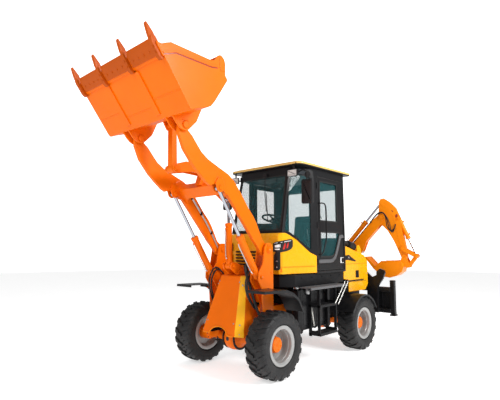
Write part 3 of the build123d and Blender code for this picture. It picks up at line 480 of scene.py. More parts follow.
def soften(node, mat, width=0.003, segs=2, angle=30, holes=False):
    """A CAD node's own shape with rolled edges, shown in its place."""
    me = NODES[node].data.copy()
    bm = bmesh.new()
    bm.from_mesh(me)
    bmesh.ops.remove_doubles(bm, verts=bm.verts, dist=2e-5)
    if not holes:
        bmesh.ops.dissolve_limit(bm, angle_limit=math.radians(0.6), verts=bm.verts, edges=bm.edges)
    es = [e for e in bm.edges if len(e.link_faces) == 2 and e.calc_face_angle(0) > math.radians(angle)]
    if width > 0 and es:
        bmesh.ops.bevel(bm, geom=es, offset=width, segments=segs, profile=0.6, affect="EDGES", clamp_overlap=False)
    bm.to_mesh(me)
    bm.free()
    shade(me, 36)
    body = [b for b, ns in frame["record"]["behaviour"]["bodies"].items() if node in ns][0]
    o = put(me, node + "_skin", body, mat, (node,))
    return weighted(o)


def dress(node, mat):
    """Same CAD mesh with a finished material."""
    o = NODES[node]
    o.data.materials.clear()
    o.data.materials.append(M[mat])
    return o


# ================================================================== wheels
def wheel(name, wx, s):
    body = name + "_wheel"
    c = W(wx, s * 0.675, 0.42)
    ax = Vector((0, s, 0))
    ex, ez = Vector((1, 0, 0)), Vector((0, 0, 1))

    def at(w, ang, r):
        return c + ax * w + (ex * math.cos(ang) + ez * math.sin(ang)) * r

    sh = Shape()
    sh.lathe([(-0.119, 0.214), (-0.119, 0.246), (-0.124, 0.254), (-0.137, 0.262), (-0.142, 0.268), (-0.141, 0.276), (-0.1465, 0.290),
              (-0.1505, 0.318), (-0.1495, 0.345), (-0.1515, 0.350), (-0.1490, 0.356), (-0.144, 0.374), (-0.132, 0.390), (-0.112, 0.397),
              (-0.06, 0.400), (0, 0.401), (0.06, 0.400), (0.112, 0.397), (0.132, 0.390), (0.144, 0.374), (0.1490, 0.356),
              (0.1515, 0.350), (0.1495, 0.345), (0.1505, 0.318), (0.1465, 0.290), (0.141, 0.276), (0.142, 0.268), (0.137, 0.262),
              (0.124, 0.254), (0.119, 0.246), (0.119, 0.214)], c, ax, 96)
    n = 19
    # (across, lead angle, half width, foot radius, top radius)
    path = [(-0.006, -1.2, 0.015, 0.394, 0.4195), (0.026, 0.0, 0.022, 0.394, 0.4200), (0.054, 0.6, 0.024, 0.393, 0.4198),
            (0.074, 4.2, 0.026, 0.392, 0.4190), (0.104, 5.2, 0.029, 0.388, 0.4170), (0.126, 6.6, 0.031, 0.380, 0.4110)]
    side_path = [(0.140, 0.402, 8.2, 0.031), (0.1495, 0.385, 9.0, 0.029), (0.1525, 0.358, 9.8, 0.024), (0.1520, 0.338, 10.2, 0.018)]
    for hand in (1, -1):
        for k in range(n):
            a0 = 2 * math.pi * (k + (0.5 if hand < 0 else 0.0)) / n
            rings = []
            for w, lead, hw, r0, r1 in path:
                a = a0 + math.radians(lead)
                d = hw / 0.41
                rings.append([at(w * hand, a - d * 1.12, r0), at(w * hand, a - d * 0.95, r1 - 0.003), at(w * hand, a - d * 0.82, r1),
                              at(w * hand, a + d * 0.82, r1), at(w * hand, a + d * 0.95, r1 - 0.003), at(w * hand, a + d * 1.12, r0)])
            for w, r, lead, hw in side_path:
                a = a0 + math.radians(lead)
                d = hw / 0.40
                f = 0.014 if r > 0.39 else 0.010
                wi, ri = (w - f) * hand, r - f
                rings.append([at(wi, a - d * 1.12, ri), at((w - 0.002) * hand, a - d * 0.95, r - 0.002), at(w * hand, a - d * 0.82, r),
                              at(w * hand, a + d * 0.82, r), at((w - 0.002) * hand, a + d * 0.95, r - 0.002), at(wi, a + d * 1.12, ri)])
            vs = [[sh.bm.verts.new(p) for p in ring] for ring in rings]
            fs = []
            for A, B in zip(vs, vs[1:]):
                for i in range(5):
                    fs.append(sh.bm.faces.new((A[i], A[i + 1], B[i + 1], B[i])))
                fs.append(sh.bm.faces.new((A[5], A[0], B[0], B[5])))
            fs.append(sh.bm.faces.new(vs[0][::-1]))
            fs.append(sh.bm.faces.new(vs[-1]))
            bmesh.ops.recalc_face_normals(sh.bm, faces=fs)
    sh.done(name + "_tread", body, "tyre", (name + "_tyre",), angle=32)

    rim = Shape()
    rim.lathe([(0.1195, 0.212), (0.1195, 0.243), (0.1225, 0.2468), (0.1275, 0.2475), (0.1310, 0.2445), (0.1318, 0.238), (0.1285, 0.222),
               (0.1255, 0.206), (0.121, 0.199), (0.112, 0.1955), (0.080, 0.1935), (0.074, 0.188), (0.040, 0.186), (0.034, 0.190),
               (0.008, 0.194), (-0.010, 0.194), (-0.019, 0.188), (-0.0225, 0.176), (-0.0225, 0.150), (-0.019, 0.146), (-0.019, 0.118),
               (-0.0225, 0.112), (-0.0225, 0.090), (-0.036, 0.090), (-0.036, 0.170), (-0.045, 0.190), (-0.060, 0.199), (-0.121, 0.2005),
               (-0.1255, 0.206), (-0.1285, 0.222), (-0.1315, 0.240), (-0.1305, 0.2455), (-0.127, 0.2475), (-0.1225, 0.2468),
               (-0.1195, 0.243), (-0.1195, 0.212)], c, ax, 96)
    for k in range(10):
        a = 2 * math.pi * (k + 0.5) / 10
        rim.bolt(at(-0.0215, a, 0.132), ax, 0.011)
    # valve
    rim.rod(at(-0.010, 0.35, 0.168), at(0.022, 0.35, 0.160), 0.004, 10)
    rim.done(name + "_wheel_rim", body, "rim", (name + "_rim",))
    hub = Shape()
    hub.lathe([(-0.060, 0.033), (-0.060, 0.096), (-0.037, 0.100), (-0.022, 0.104), (-0.012, 0.104), (-0.009, 0.099), (0.034, 0.096),
               (0.040, 0.093), (0.046, 0.090), (0.0515, 0.084), (0.0515, 0.046), (0.0500, 0.043), (0.0500, 0.0)], c, ax, 64, closed=False)
    for k in range(6):
        a = 2 * math.pi * (k + 0.25) / 6
        hub.bolt(at(0.0505, a, 0.064), ax, 0.0085, washer=False)
    hub.rod(at(0.0495, 0, 0), at(0.0545, 0, 0), 0.020, 20)
    hub.done(name + "_hub", body, "orange")


for _n, _x, _s in (("front_left", 0.0, 1), ("front_right", 0.0, -1), ("rear_left", -2.158, 1), ("rear_right", -2.158, -1)):
    wheel(_n, _x, _s)

# ================================================================== axles
for _a, _x, _b in (("front_axle", 0.0, "front_chassis"), ("rear_axle", -2.158, "rear_chassis")):
    soften(_a, "orange", 0.0)
    sh = Shape()
    for s in (1, -1):
        for k in range(12):
            t = 2 * math.pi * (k + 0.5) / 12
            sh.bolt(W(_x + 0.142 * math.cos(t), s * 0.106, 0.42 + 0.142 * math.sin(t)), (0, s, 0), 0.009)
        sh.lathe([(0.096, 0.120), (0.096, 0.156), (0.104, 0.156), (0.104, 0.120)], W(_x, 0, 0.42), (0, s, 0), 48)
        for k in range(8):
            t = 2 * math.pi * k / 8
            sh.bolt(W(_x + 0.080 * math.cos(t), s * 0.486, 0.42 + 0.080 * math.sin(t)), (0, -s, 0), 0.008)
        for dx in (-0.05, 0.05):
            sh.rod(W(_x + dx, s * 0.305, 0.300), W(_x + dx, s * 0.305, 0.500), 0.009)
            sh.bolt(W(_x + dx, s * 0.305, 0.340), (0, 0, -1), 0.014)
        sh.box(_x - 0.070, _x + 0.070, s * 0.305 - 0.030, s * 0.305 + 0.030, 0.338, 0.352)
    sh.rod(W(_x + (0.165 if _x > -1 else 0.16), 0, 0.42), W(_x + 0.115, 0, 0.42), 0.03, 20)
    sh.done(_a + "_bolts", _b, "iron")

# ================================================================== front frame
soften("front_frame", "tower", 0.003, holes=True)
sh = Shape()
for s in (1, -1):
    for (px, pz), r in (((-0.100, 1.600), 0.040), ((0.051, 1.250), 0.026)):
        for y0, y1 in ((0.519, 0.527), (0.362 - 0.010, 0.362 - 0.002)):
            a, b = sorted((s * y0, s * y1))
            sh.rod(W(px, a, pz), W(px, b, pz), r, 28)
    # bolts on the outer plates and the retaining bars of the pins
    for x, z in ((-0.150, 0.80), (-0.150, 1.02), (-0.040, 0.80), (-0.040, 1.02), (-0.145, 1.30), (0.060, 1.06)):
        sh.bolt(W(x, s * 0.510, z), (0, s, 0), 0.012)
    sh.box(-0.135, -0.065, *sorted((s * 0.510, s * 0.516)), 1.655, 1.670)
    sh.bolt(W(-0.125, s * 0.516, 1.6625), (0, s, 0), 0.007)
    sh.bolt(W(-0.075, s * 0.516, 1.6625), (0, s, 0), 0.007)
sh.done("tower_pins", "front_chassis", "orange")
sh = Shape()
for s in (1, -1):
    for x, z in ((-0.100, 1.600), (0.051, 1.250)):
        sh.rod(W(x, s * 0.526, z), W(x, s * 0.534, z), 0.006, 10)
sh.done("tower_greasers", "front_chassis", "zinc")

# ------------------------------------------------------------------ nose cover
LEVELS = [(1.250, 0.100, 0.240), (1.00, 0.1827, 0.2905), (0.73, 0.272, 0.345), (0.572, 0.3225, 0.3715), (0.50, 0.343, 0.387)]


def level(z):
    for (z0, x0, h0), (z1, x1, h1) in zip(LEVELS, LEVELS[1:]):
        if z >= z1 - 1e-9:
            t = (z0 - z) / (z0 - z1)
            return x0 + (x1 - x0) * t, h0 + (h1 - h0) * t
    return LEVELS[-1][1], LEVELS[-1][2]


def nose_cover():
    bm = bmesh.new()
    cols = []

    def chamf(z):
        return 0.060 + 0.030 * (1.25 - z) / 0.75

    def bottom(u):
        # u: signed distance along the front from the centre, 0..1 front face, 1..2 chamfer, 2..3 side
        a = abs(u)
        if a <= 1:
            t = a * 0.30
            if t < 0.165:
                return 0.600 - 0.55 * (0.165 - math.sqrt(max(0.0, 0.165 ** 2 - t * t)))
            k = min(1.0, (t - 0.165) / 0.095)
            k = k * k * (3 - 2 * k)
            return 0.508 + (0.600 - 0.55 * 0.165 - 0.508) * (1 - k)
        if a <= 2:
            return 0.508 - 0.010 * (a - 1)
        return 0.498 + 0.0 * (a - 2)

    zs = [1.250, 1.236, 1.12, 1.00, 0.86, 0.73, 0.65, 0.590, 0.576, 0.566, 0.535, 0.0]
    us = [-3, -2.6, -2.3, -2.03, -1.97] + [-1.03, -0.97] + [i / 12 for i in range(-11, 12)] + [0.97, 1.03] + [1.97, 2.03, 2.3, 2.6, 3]
    grid = []
    for u in us:
        col = []
        b = bottom(u)
        for i, z in enumerate(zs):
            zz = max(z, b + 0.0035 * (len(zs) - 1 - i))
            x, h = level(max(zz, 0.50))
            c = chamf(zz)
            a, sg = abs(u), (1 if u >= 0 else -1)
            if zz < 0.566:
                x -= 0.004
            if i == 0:
                x -= 0.012
                h -= 0.012
            if a <= 1:
                p = (x, sg * a * (h - c))
            elif a <= 2:
                t = a - 1
                p = (x - c * t, sg * (h - c + c * t))
            else:
                t = a - 2
                p = ((x - c) * (1 - t) + (-0.058) * t, sg * h)
            col.append(bm.verts.new(W(p[0], p[1], zz)))
        grid.append(col)
    strips = []
    for ci, (A, B) in enumerate(zip(grid, grid[1:])):
        for i in range(len(zs) - 1):
            f = bm.faces.new((A[i], A[i + 1], B[i + 1], B[i]))
            m = (us[ci] + us[ci + 1]) / 2
            if 1 < abs(m) < 2:
                strips.append(f)
    # closed top
    top = [c[0] for c in grid]
    bm.faces.new(top[::-1])
    bmesh.ops.recalc_face_normals(bm, faces=bm.faces)
    # the chamfer strips take the second slot, the painted highlight copy of the orange paint
    for f in strips:
        f.material_index = 1
    me = bpy.data.meshes.new("nose_cover")
    bm.to_mesh(me)
    bm.free()
    o = bpy.data.objects.new("nose_cover_tmp", me)
    bpy.context.scene.collection.objects.link(o)
    md = o.modifiers.new("s", "SOLIDIFY")
    md.thickness = 0.009
    md.offset = -1
    md.use_even_offset = True
    bv = o.modifiers.new("b", "BEVEL")
    bv.width = 0.0025
    bv.segments = 2
    bv.limit_method = "ANGLE"
    bv.angle_limit = math.radians(24)
    bpy.context.view_layer.update()
    me2 = bpy.data.meshes.new_from_object(o.evaluated_get(bpy.context.evaluated_depsgraph_get()))
    bpy.data.objects.remove(o)
    me2.name = "nose_cover"
    shade(me2, 30)
    idx = [p.material_index for p in me2.polygons]
    o = put(me2, "nose_cover", "front_chassis", "orange", ("front_cover",))
    # second slot: painted highlight for the chamfer strips
    me2.materials.append(M["bright"])
    for p, i in zip(me2.polygons, idx):
        p.material_index = min(i, 1)
    return o


nose_cover()
# rolled lip along the arch, then bolts and brackets
lip = []
for i in range(-20, 21):
    u = i / 20 * 0.93
    t = abs(u) * 0.30
    if t < 0.165:
        z = 0.600 - 0.55 * (0.165 - math.sqrt(max(0.0, 0.165 ** 2 - t * t)))
    else:
        k = min(1.0, (t - 0.165) / 0.095)
        k = k * k * (3 - 2 * k)
        z = 0.508 + (0.600 - 0.55 * 0.165 - 0.508) * (1 - k)
    x, h = level(max(z, 0.5))
    lip.append(W(x + 0.0005, u * (h - 0.09), z))
tube("nose_cover_lip", "front_chassis", "amber", [lip], 0.0075, 8)
sh = Shape()
for s in (1, -1):
    x, h = level(1.17)
    sh.bolt(W(x, s * (h - 0.066), 1.17), (0.95, 0, 0.31), 0.009)
    x, h = level(0.66)
    sh.bolt(W(x, s * (h - 0.115), 0.66), (0.95, 0, 0.31), 0.009)
    x, h = level(1.13)
    sh.bolt(W(x - 0.030, s * (h - 0.032), 1.13), (0.68, s * 0.68, 0.25), 0.011)
    x, h = level(0.645)
    sh.bolt(W(x - 0.042, s * (h - 0.042), 0.645), (0.68, s * 0.68, 0.25), 0.010)
    x, h = level(0.535)
    sh.bolt(W(x - 0.050, s * (h - 0.046), 0.535), (0.68, s * 0.68, 0.25), 0.009)
    sh.bolt(W(0.03, s * 0.386, 0.545), (0, s, 0.2), 0.010)
    sh.bolt(W(0.17, s * 0.386, 0.545), (0, s, 0.2), 0.010)
sh.done("nose_cover_bolts", "front_chassis", "zinc")

# hinge-like lifting brackets and stiffeners on top of the nose, at the cylinder foot
sh = Shape()
for s in (1, -1):
    y0, y1 = sorted((s * 0.086, s * 0.100))
    sh.prism([(-0.090, 1.262), (-0.090, 1.310), (-0.02, 1.345), (0.055, 1.30), (0.085, 1.262)], y0, y1, S())
    y0, y1 = sorted((s * 0.150, s * 0.164))
    sh.prism([(-0.150, 1.262), (-0.150, 1.345), (-0.100, 1.350), (-0.02, 1.262)], y0, y1, S())
sh.rod(W(0.130, -0.088, 1.380), W(0.130, -0.100, 1.380), 0.028)
sh.rod(W(0.130, 0.088, 1.380), W(0.130, 0.100, 1.380), 0.028)
sh.done("tilt_foot_ribs", "front_chassis", "orange")

# ------------------------------------------------------------------ front mudguards
soften("front_fenders", "black", 0.003)
sh = Shape()
for s in (1, -1):
    y0, y1 = sorted((s * 0.520, s * 0.825))
    # turned-down front edge and outside lip
    sh.box(0.356, 0.370, y0, y1, 1.074, 1.102, 0.004)
    pts = [(-0.440, 0.785), (-0.330, 0.960), (-0.215, 1.040), (-0.070, 1.090), (0.368, 1.100)]
    lip = pts + [(x + 0.006, z - 0.026) for x, z in pts[::-1]]
    sh.prism(lip, *sorted((s * 0.823, s * 0.829)), S(), 0.002)
    for x in (-0.02, 0.13, 0.28):
        sh.bolt(W(x, s * 0.560, 1.104 if x > 0.1 else 1.100), (0, 0, 1), 0.008)
    sh.box(0.05, 0.09, *sorted((s * 0.508, s * 0.640)), 1.062, 1.084, 0.003)
sh.done("mudguard_edges", "front_chassis", "black")

# ================================================================== loader arms
soften("loader_arms", "orange", 0.004, holes=True)
sh = Shape()
for s in (1, -1):
    yc = s * 0.4355
    for (x, z), r, off in (((1.343, 2.990), 0.042, 0.076), ((0.769, 2.347), 0.030, 0.049)):
        for sg in (1, -1):
            sh.rod(W(x, yc + sg * off, z), W(x, yc + sg * (off + 0.010), z), r, 28)
    # round bosses welded on the plates
    for x, z, r in ((-0.100, 1.600, 0.062), (0.769, 2.347, 0.0)):
        if r:
            for sg in (1, -1):
                sh.lathe([(0, 0.031), (0, r), (0.005, r), (0.005, 0.031)], W(x, yc + sg * 0.025, z), (0, sg, 0), 40)
    # pin locks
    sh.box(1.300, 1.386, *sorted((yc + s * 0.071, yc + s * 0.077)), 3.036, 3.050)
sh.done("arm_pin_caps", "loader_arm_frame", "orange")

# pipes along the inside of the arms, with clips
runs = []
for s in (1, -1):
    for k in (0.0, 0.020):
        runs.append([W(-0.030, s * 0.400, 1.640 - k), W(0.100, s * 0.400, 1.855 - k), W(0.300, s * 0.400, 2.120 - k), W(0.500, s * 0.400, 2.355 - k),
                     W(0.560, s * 0.390, 2.405 - k)])
tube("arm_pipes", "loader_arm_frame", "steel", runs, 0.007, 8)
sh = Shape()
for s in (1, -1):
    for x, z in ((0.100, 1.845), (0.300, 2.110), (0.480, 2.320)):
        sh.box(x - 0.014, x + 0.014, *sorted((s * 0.386, s * 0.411)), z - 0.028, z + 0.018)
sh.done("pipe_clips", "loader_arm_frame", "black")

soften("rocker_arm", "orange", 0.004)
soften("bucket_link", "orange", 0.004)
sh = Shape()
for s in (1, -1):
    sh.rod(W(0.160, s * 0.083, 2.300), W(0.160, s * 0.092, 2.300), 0.032, 24)
    sh.rod(W(1.126, s * 0.098, 2.585), W(1.126, s * 0.106, 2.585), 0.036, 24)
sh.done("rocker_pin_caps", "rocker", "orange")
sh = Shape()
for s in (1, -1):
    sh.rod(W(0.620, s * 0.092, 2.620), W(0.620, s * 0.102, 2.620), 0.036, 24)
sh.done("rocker_pivot_caps", "loader_arm_frame", "orange")

# ================================================================== loader bucket
A0, A1 = Vector((1.521, 3.049)), Vector((1.960, 3.632))
FL = (A1 - A0).length
FU = (A1 - A0) / FL
FN = Vector((FU.y, -FU.x))          # out of the floor, away from the load


def floor_pt(sf, n):
    p = A0 + FU * sf + FN * n
    return (p.x, p.y)


def sheet_band(points, t):
    out = []
    n = len(points)
    for i, p in enumerate(points):
        p = Vector(p)
        if i == 0:
            d = (Vector(points[1]) - p).normalized()
            nn = Vector((-d.y, d.x))
        elif i == n - 1:
            d = (p - Vector(points[-2])).normalized()
            nn = Vector((-d.y, d.x))
        else:
            a = (p - Vector(points[i - 1])).normalized()
            b = (Vector(points[i + 1]) - p).normalized()
            nn = Vector((-(a.y + b.y), a.x + b.x)).normalized()
            nn = nn / (nn.x * -a.y + nn.y * a.x)
        out.append((p.x + nn.x * t, p.y + nn.y * t))
    return list(points) + out[::-1]


SHELL = [(1.960, 3.632), (1.521, 3.049), (1.434, 3.085), (1.258, 3.146), (1.183, 3.228), (1.085, 3.378), (0.992, 3.523),
         (1.027, 3.572), (1.029, 3.702), (1.042, 3.760), (1.112, 3.787)]
HEEL = [(1.960, 3.632), (1.545, 3.081), (1.528, 3.062), (1.508, 3.054), (1.434, 3.085), (1.275, 3.140), (1.238, 3.160), (1.183, 3.228),
        (1.085, 3.378), (0.998, 3.514), (0.994, 3.530), (1.024, 3.568), (1.028, 3.585), (1.029, 3.702), (1.036, 3.745), (1.052, 3.764), (1.112, 3.787)]
CHEEK = [(1.955, 3.626), (1.545, 3.081), (1.528, 3.062), (1.508, 3.054), (1.434, 3.085), (1.275, 3.140), (1.238, 3.160), (1.183, 3.228), (1.085, 3.378),
         (0.998, 3.514), (0.994, 3.530), (1.024, 3.568), (1.028, 3.585), (1.029, 3.700), (1.035, 3.730), (1.052, 3.762), (1.082, 3.782), (1.112, 3.787),
         (1.140, 3.772), (1.167, 3.735), (1.200, 3.698), (1.240, 3.680), (1.793, 3.681), (1.838, 3.661), (1.908, 3.625)]
sh = Shape()
sh.prism(sheet_band(HEEL, -0.016), -0.805, 0.805, S(), 0.003)
for s in (1, -1):
    a, b = sorted((s * 0.8125, s * 0.7925))
    sh.prism(CHEEK, a, b, S(), 0.004)
    for c in (-1, 1):
        a, b = sorted((s * 0.4355 + c * 0.050, s * 0.4355 + c * 0.070))
        sh.prism([(1.524, 3.056), (1.470, 2.990), (1.420, 2.948), (1.395, 2.935), (1.370, 2.927), (1.343, 2.925), (1.315, 2.930), (1.292, 2.945),
                  (1.180, 3.060), (1.105, 3.230), (1.120, 3.330), (1.200, 3.220), (1.275, 3.152), (1.450, 3.090)], a, b, S(), 0.003)
    a, b = sorted((s * 0.055, s * 0.080))
    sh.prism([(1.100, 3.380), (1.060, 3.200), (1.070, 3.150), (1.085, 3.120), (1.100, 3.090), (1.120, 3.072), (1.142, 3.066), (1.165, 3.072),
              (1.182, 3.090), (1.195, 3.110), (1.230, 3.170), (1.190, 3.240)], a, b, S(), 0.003)
    sh.rod(W(1.141, s * 0.080, 3.122), W(1.141, s * 0.092, 3.122), 0.036, 24)
sh.rod(W(1.141, -0.085, 3.122), W(1.141, 0.085, 3.122), 0.025, 24)
# base edge
sh.prism([floor_pt(0.580, 0.0), floor_pt(0.580, 0.012), floor_pt(0.590, 0.014), floor_pt(0.722, 0.014), floor_pt(0.7298, 0.004), floor_pt(0.7298, 0.0)],
         -0.8125, 0.8125, S(), 0.0)
# floor seams: raised welds between the floor plates, and the wear strips
for y in (-0.300, 0.300):
    sh.prism([floor_pt(0.060, 0.0), floor_pt(0.060, 0.010), floor_pt(0.066, 0.0145), floor_pt(0.554, 0.0145), floor_pt(0.560, 0.010), floor_pt(0.560, 0.0)],
             y - 0.040, y + 0.040, S(), 0.0)
sh.prism([floor_pt(0.150, 0.0), floor_pt(0.152, 0.004), floor_pt(0.158, 0.004), floor_pt(0.160, 0.0)], -0.255, 0.255, S(), 0.0)
for y0, y1 in ((0.345, 0.80), (-0.80, -0.345)):
    sh.prism([floor_pt(0.225, 0.0), floor_pt(0.227, 0.004), floor_pt(0.233, 0.004), floor_pt(0.235, 0.0)], y0, y1, S(), 0.0)
sh.done("loader_bucket_shell", "loader_shovel", "orange", ("loader_bucket",))

sh = Shape()
for y0, y1 in ((-0.722, -0.312), (-0.216, 0.216), (0.312, 0.722)):
    prof = [floor_pt(0.606, 0.0135), floor_pt(0.606, 0.022), floor_pt(0.614, 0.0275), floor_pt(0.730, 0.0275), floor_pt(0.782, 0.010), floor_pt(0.782, 0.006), floor_pt(0.735, 0.0135)]
    sh.prism(prof, y0, y1, S(), 0.003)
    m = (y0 + y1) / 2
    hw = (y1 - y0) / 2
    for dy in (-hw * 0.72, -hw * 0.24, hw * 0.24, hw * 0.72):
        p = floor_pt(0.668, 0.0272)
        sh.bolt(W(p[0], m + dy, p[1]), (FN.x, 0, FN.y), 0.011, head=0.005)
# edge segments take the darker edge material: partly own tone, partly painted gap shade
sh.done("bucket_edge_segments", "loader_shovel", "edge")

sh = Shape()
for yt in (-0.770, -0.264, 0.264, 0.770):
    # two-leg adapter round the edge, and the tooth cap on it
    for c in (-1, 1):
        pass
    sh.prism([floor_pt(0.555, 0.013), floor_pt(0.560, 0.034), floor_pt(0.600, 0.050), floor_pt(0.735, 0.050), floor_pt(0.770, 0.044), floor_pt(0.800, 0.030),
              floor_pt(0.800, -0.010), floor_pt(0.770, -0.022), floor_pt(0.725, -0.022), floor_pt(0.690, -0.018), floor_pt(0.690, -0.0165), floor_pt(0.7305, -0.0165),
              floor_pt(0.7305, 0.0145)],
             yt - 0.026, yt + 0.026, S(), 0.005)
    tip = [floor_pt(0.775, 0.044), floor_pt(0.815, 0.040), floor_pt(0.915, 0.012), floor_pt(0.930, 0.002), floor_pt(0.928, -0.008), floor_pt(0.815, -0.026),
           floor_pt(0.775, -0.020)]
    sh.prism(tip, yt - 0.019, yt + 0.019, S(), 0.005)
    for c in (-1, 1):
        p = floor_pt(0.788, 0.010)
        sh.rod(W(p[0], yt + c * 0.018, p[1]), W(p[0], yt + c * 0.029, p[1]), 0.010, 14)
    p = floor_pt(0.640, 0.050)
    sh.bolt(W(p[0], yt, p[1]), (FN.x, 0, FN.y), 0.012, head=0.006)
    sh.bolt(W(floor_pt(0.700, 0.05)[0], yt, floor_pt(0.700, 0.05)[1]), (FN.x, 0, FN.y), 0.012, head=0.006)
# teeth take the darker edge material: partly own tone, partly painted gap shade
sh.done("bucket_teeth", "loader_shovel", "edge")

# raised fold on the cheeks, with the shadow gap under it
for s in (1, -1):
    sh = Shape()
    y0, y1 = sorted((s * 0.8120, s * 0.8205))
    up = [(1.140, 3.628), (1.240, 3.607), (1.735, 3.592), (1.805, 3.560), (1.880, 3.530), (1.892, 3.546), (1.815, 3.581), (1.742, 3.612), (1.245, 3.628), (1.148, 3.648)]
    sh.prism(up, y0, y1, S(), 0.003)
    sh.done("cheek_rib_" + ("left" if s > 0 else "right"), "loader_shovel", "orange")
    sh = Shape()
    y0, y1 = sorted((s * 0.8118, s * 0.8138))
    sh.prism([(1.150, 3.612), (1.240, 3.592), (1.733, 3.578), (1.800, 3.548), (1.868, 3.520), (1.880, 3.530), (1.805, 3.560), (1.735, 3.592), (1.240, 3.607), (1.150, 3.628)], y0, y1, S(), 0.0)
    sh.done("cheek_gap_" + ("left" if s > 0 else "right"), "loader_shovel", "darkred")
    # reinforcing pad at the top rear corner
    sh = Shape()
    y0, y1 = sorted((s * 0.8122, s * 0.8185))
    sh.prism([(1.048, 3.610), (1.046, 3.700), (1.056, 3.745), (1.078, 3.765), (1.100, 3.768), (1.118, 3.755), (1.124, 3.700), (1.118, 3.640), (1.100, 3.606)], y0, y1, S(), 0.003)
    sh.done("cheek_pad_" + ("left" if s > 0 else "right"), "loader_shovel", "orange")

# ================================================================== loader cylinders
def cyl_dress(tag, base, tip, rb, length, place, w, body_b, body_r, r_rod, ports=1.0):
    """Gland, foot weld, port blocks and a hard pipe on a barrel."""
    b, t = place(base[0], base[1], w), place(tip[0], tip[1], w)
    u = (t - b).normalized()
    n = (place(base[0], base[1], w + 1) - b).normalized()
    side_ = u.cross(n).normalized()
    sh = Shape()
    sh.lathe([(0, r_rod + 0.002), (0, rb + 0.004), (0.004, rb + 0.008), (0.026, rb + 0.008), (0.030, rb + 0.004), (0.036, rb + 0.003), (0.036, rb - 0.012), (0.040, r_rod + 0.006), (0.040, r_rod + 0.0015)],
             b + u * (length - 0.034), u, 40)
    for k in range(6):
        a = math.pi * 2 * k / 6
        sh.bolt(b + u * (length + 0.0015) + (n * math.cos(a) + side_ * math.sin(a)) * (rb - 0.007), u, 0.005, washer=False)
    sh.lathe([(0, rb - 0.004), (0, rb + 0.004), (0.008, rb + 0.0055), (0.016, rb + 0.004), (0.016, rb - 0.004)], b + u * 0.050, u, 40)
    for d in (0.085, length - 0.075):
        p = b + u * d + side_ * (rb - 0.006) * ports
        q = p + side_ * 0.030 * ports
        sh.rod(p, q, 0.015, 14)
    o = sh.done(tag + "_barrel_fittings", body_b, "orange" if tag.startswith(("lift", "tilt")) else "amber")
    p0 = b + u * (length - 0.075) + side_ * (rb + 0.024) * ports
    p1 = b + u * (length - 0.105) + side_ * (rb + 0.032) * ports
    p2 = b + u * 0.120 + side_ * (rb + 0.022) * ports
    p3 = b + u * 0.095 + side_ * (rb + 0.020) * ports + n * 0.02
    tube(tag + "_pipe", body_b, "steel", [[p0, p1, p1 - u * 0.03, p2 + u * 0.03, p2, p3]], 0.0065, 8)
    return b, t, u, n, side_


soften("lift_cylinder_barrels", "orange", 0.0025, holes=True)
dress("lift_cylinder_rods", "chrome")
for s, nm in ((1, "left"), (-1, "right")):
    cyl_dress("lift_" + nm, (0.051, 1.250), (0.769, 2.347), 0.046, 0.625, S(), s * 0.4355, "lift_barrels", "lift_rods", 0.022, ports=-1.0)
soften("tilt_cylinder_barrel", "orange", 0.0025)
dress("tilt_cylinder_rod", "chrome")
cyl_dress("tilt", (0.130, 1.380), (0.160, 2.300), 0.044, 0.580, S(), 0.0, "tilt_barrel", "tilt_rod", 0.020, ports=-1.0)

# ================================================================== rear frame, engine, tanks
soften("rear_frame", "frame", 0.003)
soften("frame_side_plates", "frame", 0.003)
soften("hinge_yoke", "frame", 0.003)
soften("frame_crossmembers", "frame", 0.003)
soften("engine_block", "iron", 0.006)
soften("cab_floor", "frame", 0.003)
soften("rear_fenders", "black", 0.003)
sh = Shape()
for s in (1, -1):
    for k in range(8):
        a0, a1 = math.radians(28 + 124 / 8 * k), math.radians(28 + 124 / 8 * (k + 1))
        pts = [(-2.158 + r * math.cos(a), 0.42 + r * math.sin(a)) for r, a in ((0.4535, a0), (0.4535, a1), (0.428, a1), (0.428, a0))]
        sh.prism(pts, *sorted((s * 0.828, s * 0.8345)), S(), 0.0)
    for a in (50, 90, 130):
        x, z = -2.158 + 0.453 * math.cos(math.radians(a)), 0.42 + 0.453 * math.sin(math.radians(a))
        for y in (0.40, 0.60):
            sh.bolt(W(x, s * y, z), (math.cos(math.radians(a)), 0, math.sin(math.radians(a))), 0.008)
sh.done("rear_mudguard_edges", "rear_chassis", "black")

sh = Shape()
for s in (1, -1):
    a, b = sorted((s * 0.350, s * 0.590))
    sh.prism([(-1.480, s * 0.350), (-0.830, s * 0.350), (-0.640, s * 0.478), (-0.640, s * 0.590), (-1.480, s * 0.590)], 0.470, 1.040, T(), 0.024, 4)
    # straps and seam
    for x in (-1.400, -1.060):
        sh.box(x - 0.022, x + 0.022, *sorted((s * 0.346, s * 0.5935)), 0.466, 1.0435, 0.006)
    sh.box(-0.742, -0.698, *sorted((s * 0.446, s * 0.5935)), 0.466, 1.0435, 0.006)
    for x0, x1 in ((-1.370, -1.090), (-1.030, -0.750)):
        sh.box(x0, x1, *sorted((s * 0.586, s * 0.594)), 0.540, 0.965, 0.010, 3)
sh.done("tank_bodies", "rear_chassis", "black", ("side_tanks",))
sh = Shape()
for s in (1, -1):
    c = W(-0.845, s * 0.592, 1.010)
    sh.lathe([(-0.012, 0.0), (-0.012, 0.040), (0.006, 0.042), (0.010, 0.052), (0.026, 0.052), (0.031, 0.046), (0.033, 0.026), (0.0385, 0.022), (0.0385, 0.0)],
             c, (0, s, 0.22), 36, closed=False)
    sh.rod(W(-0.690, s * 0.520, 1.040), W(-0.690, s * 0.520, 1.076), 0.040, 28)
sh.done("filler_caps", "rear_chassis", "steel")
sh = Shape()
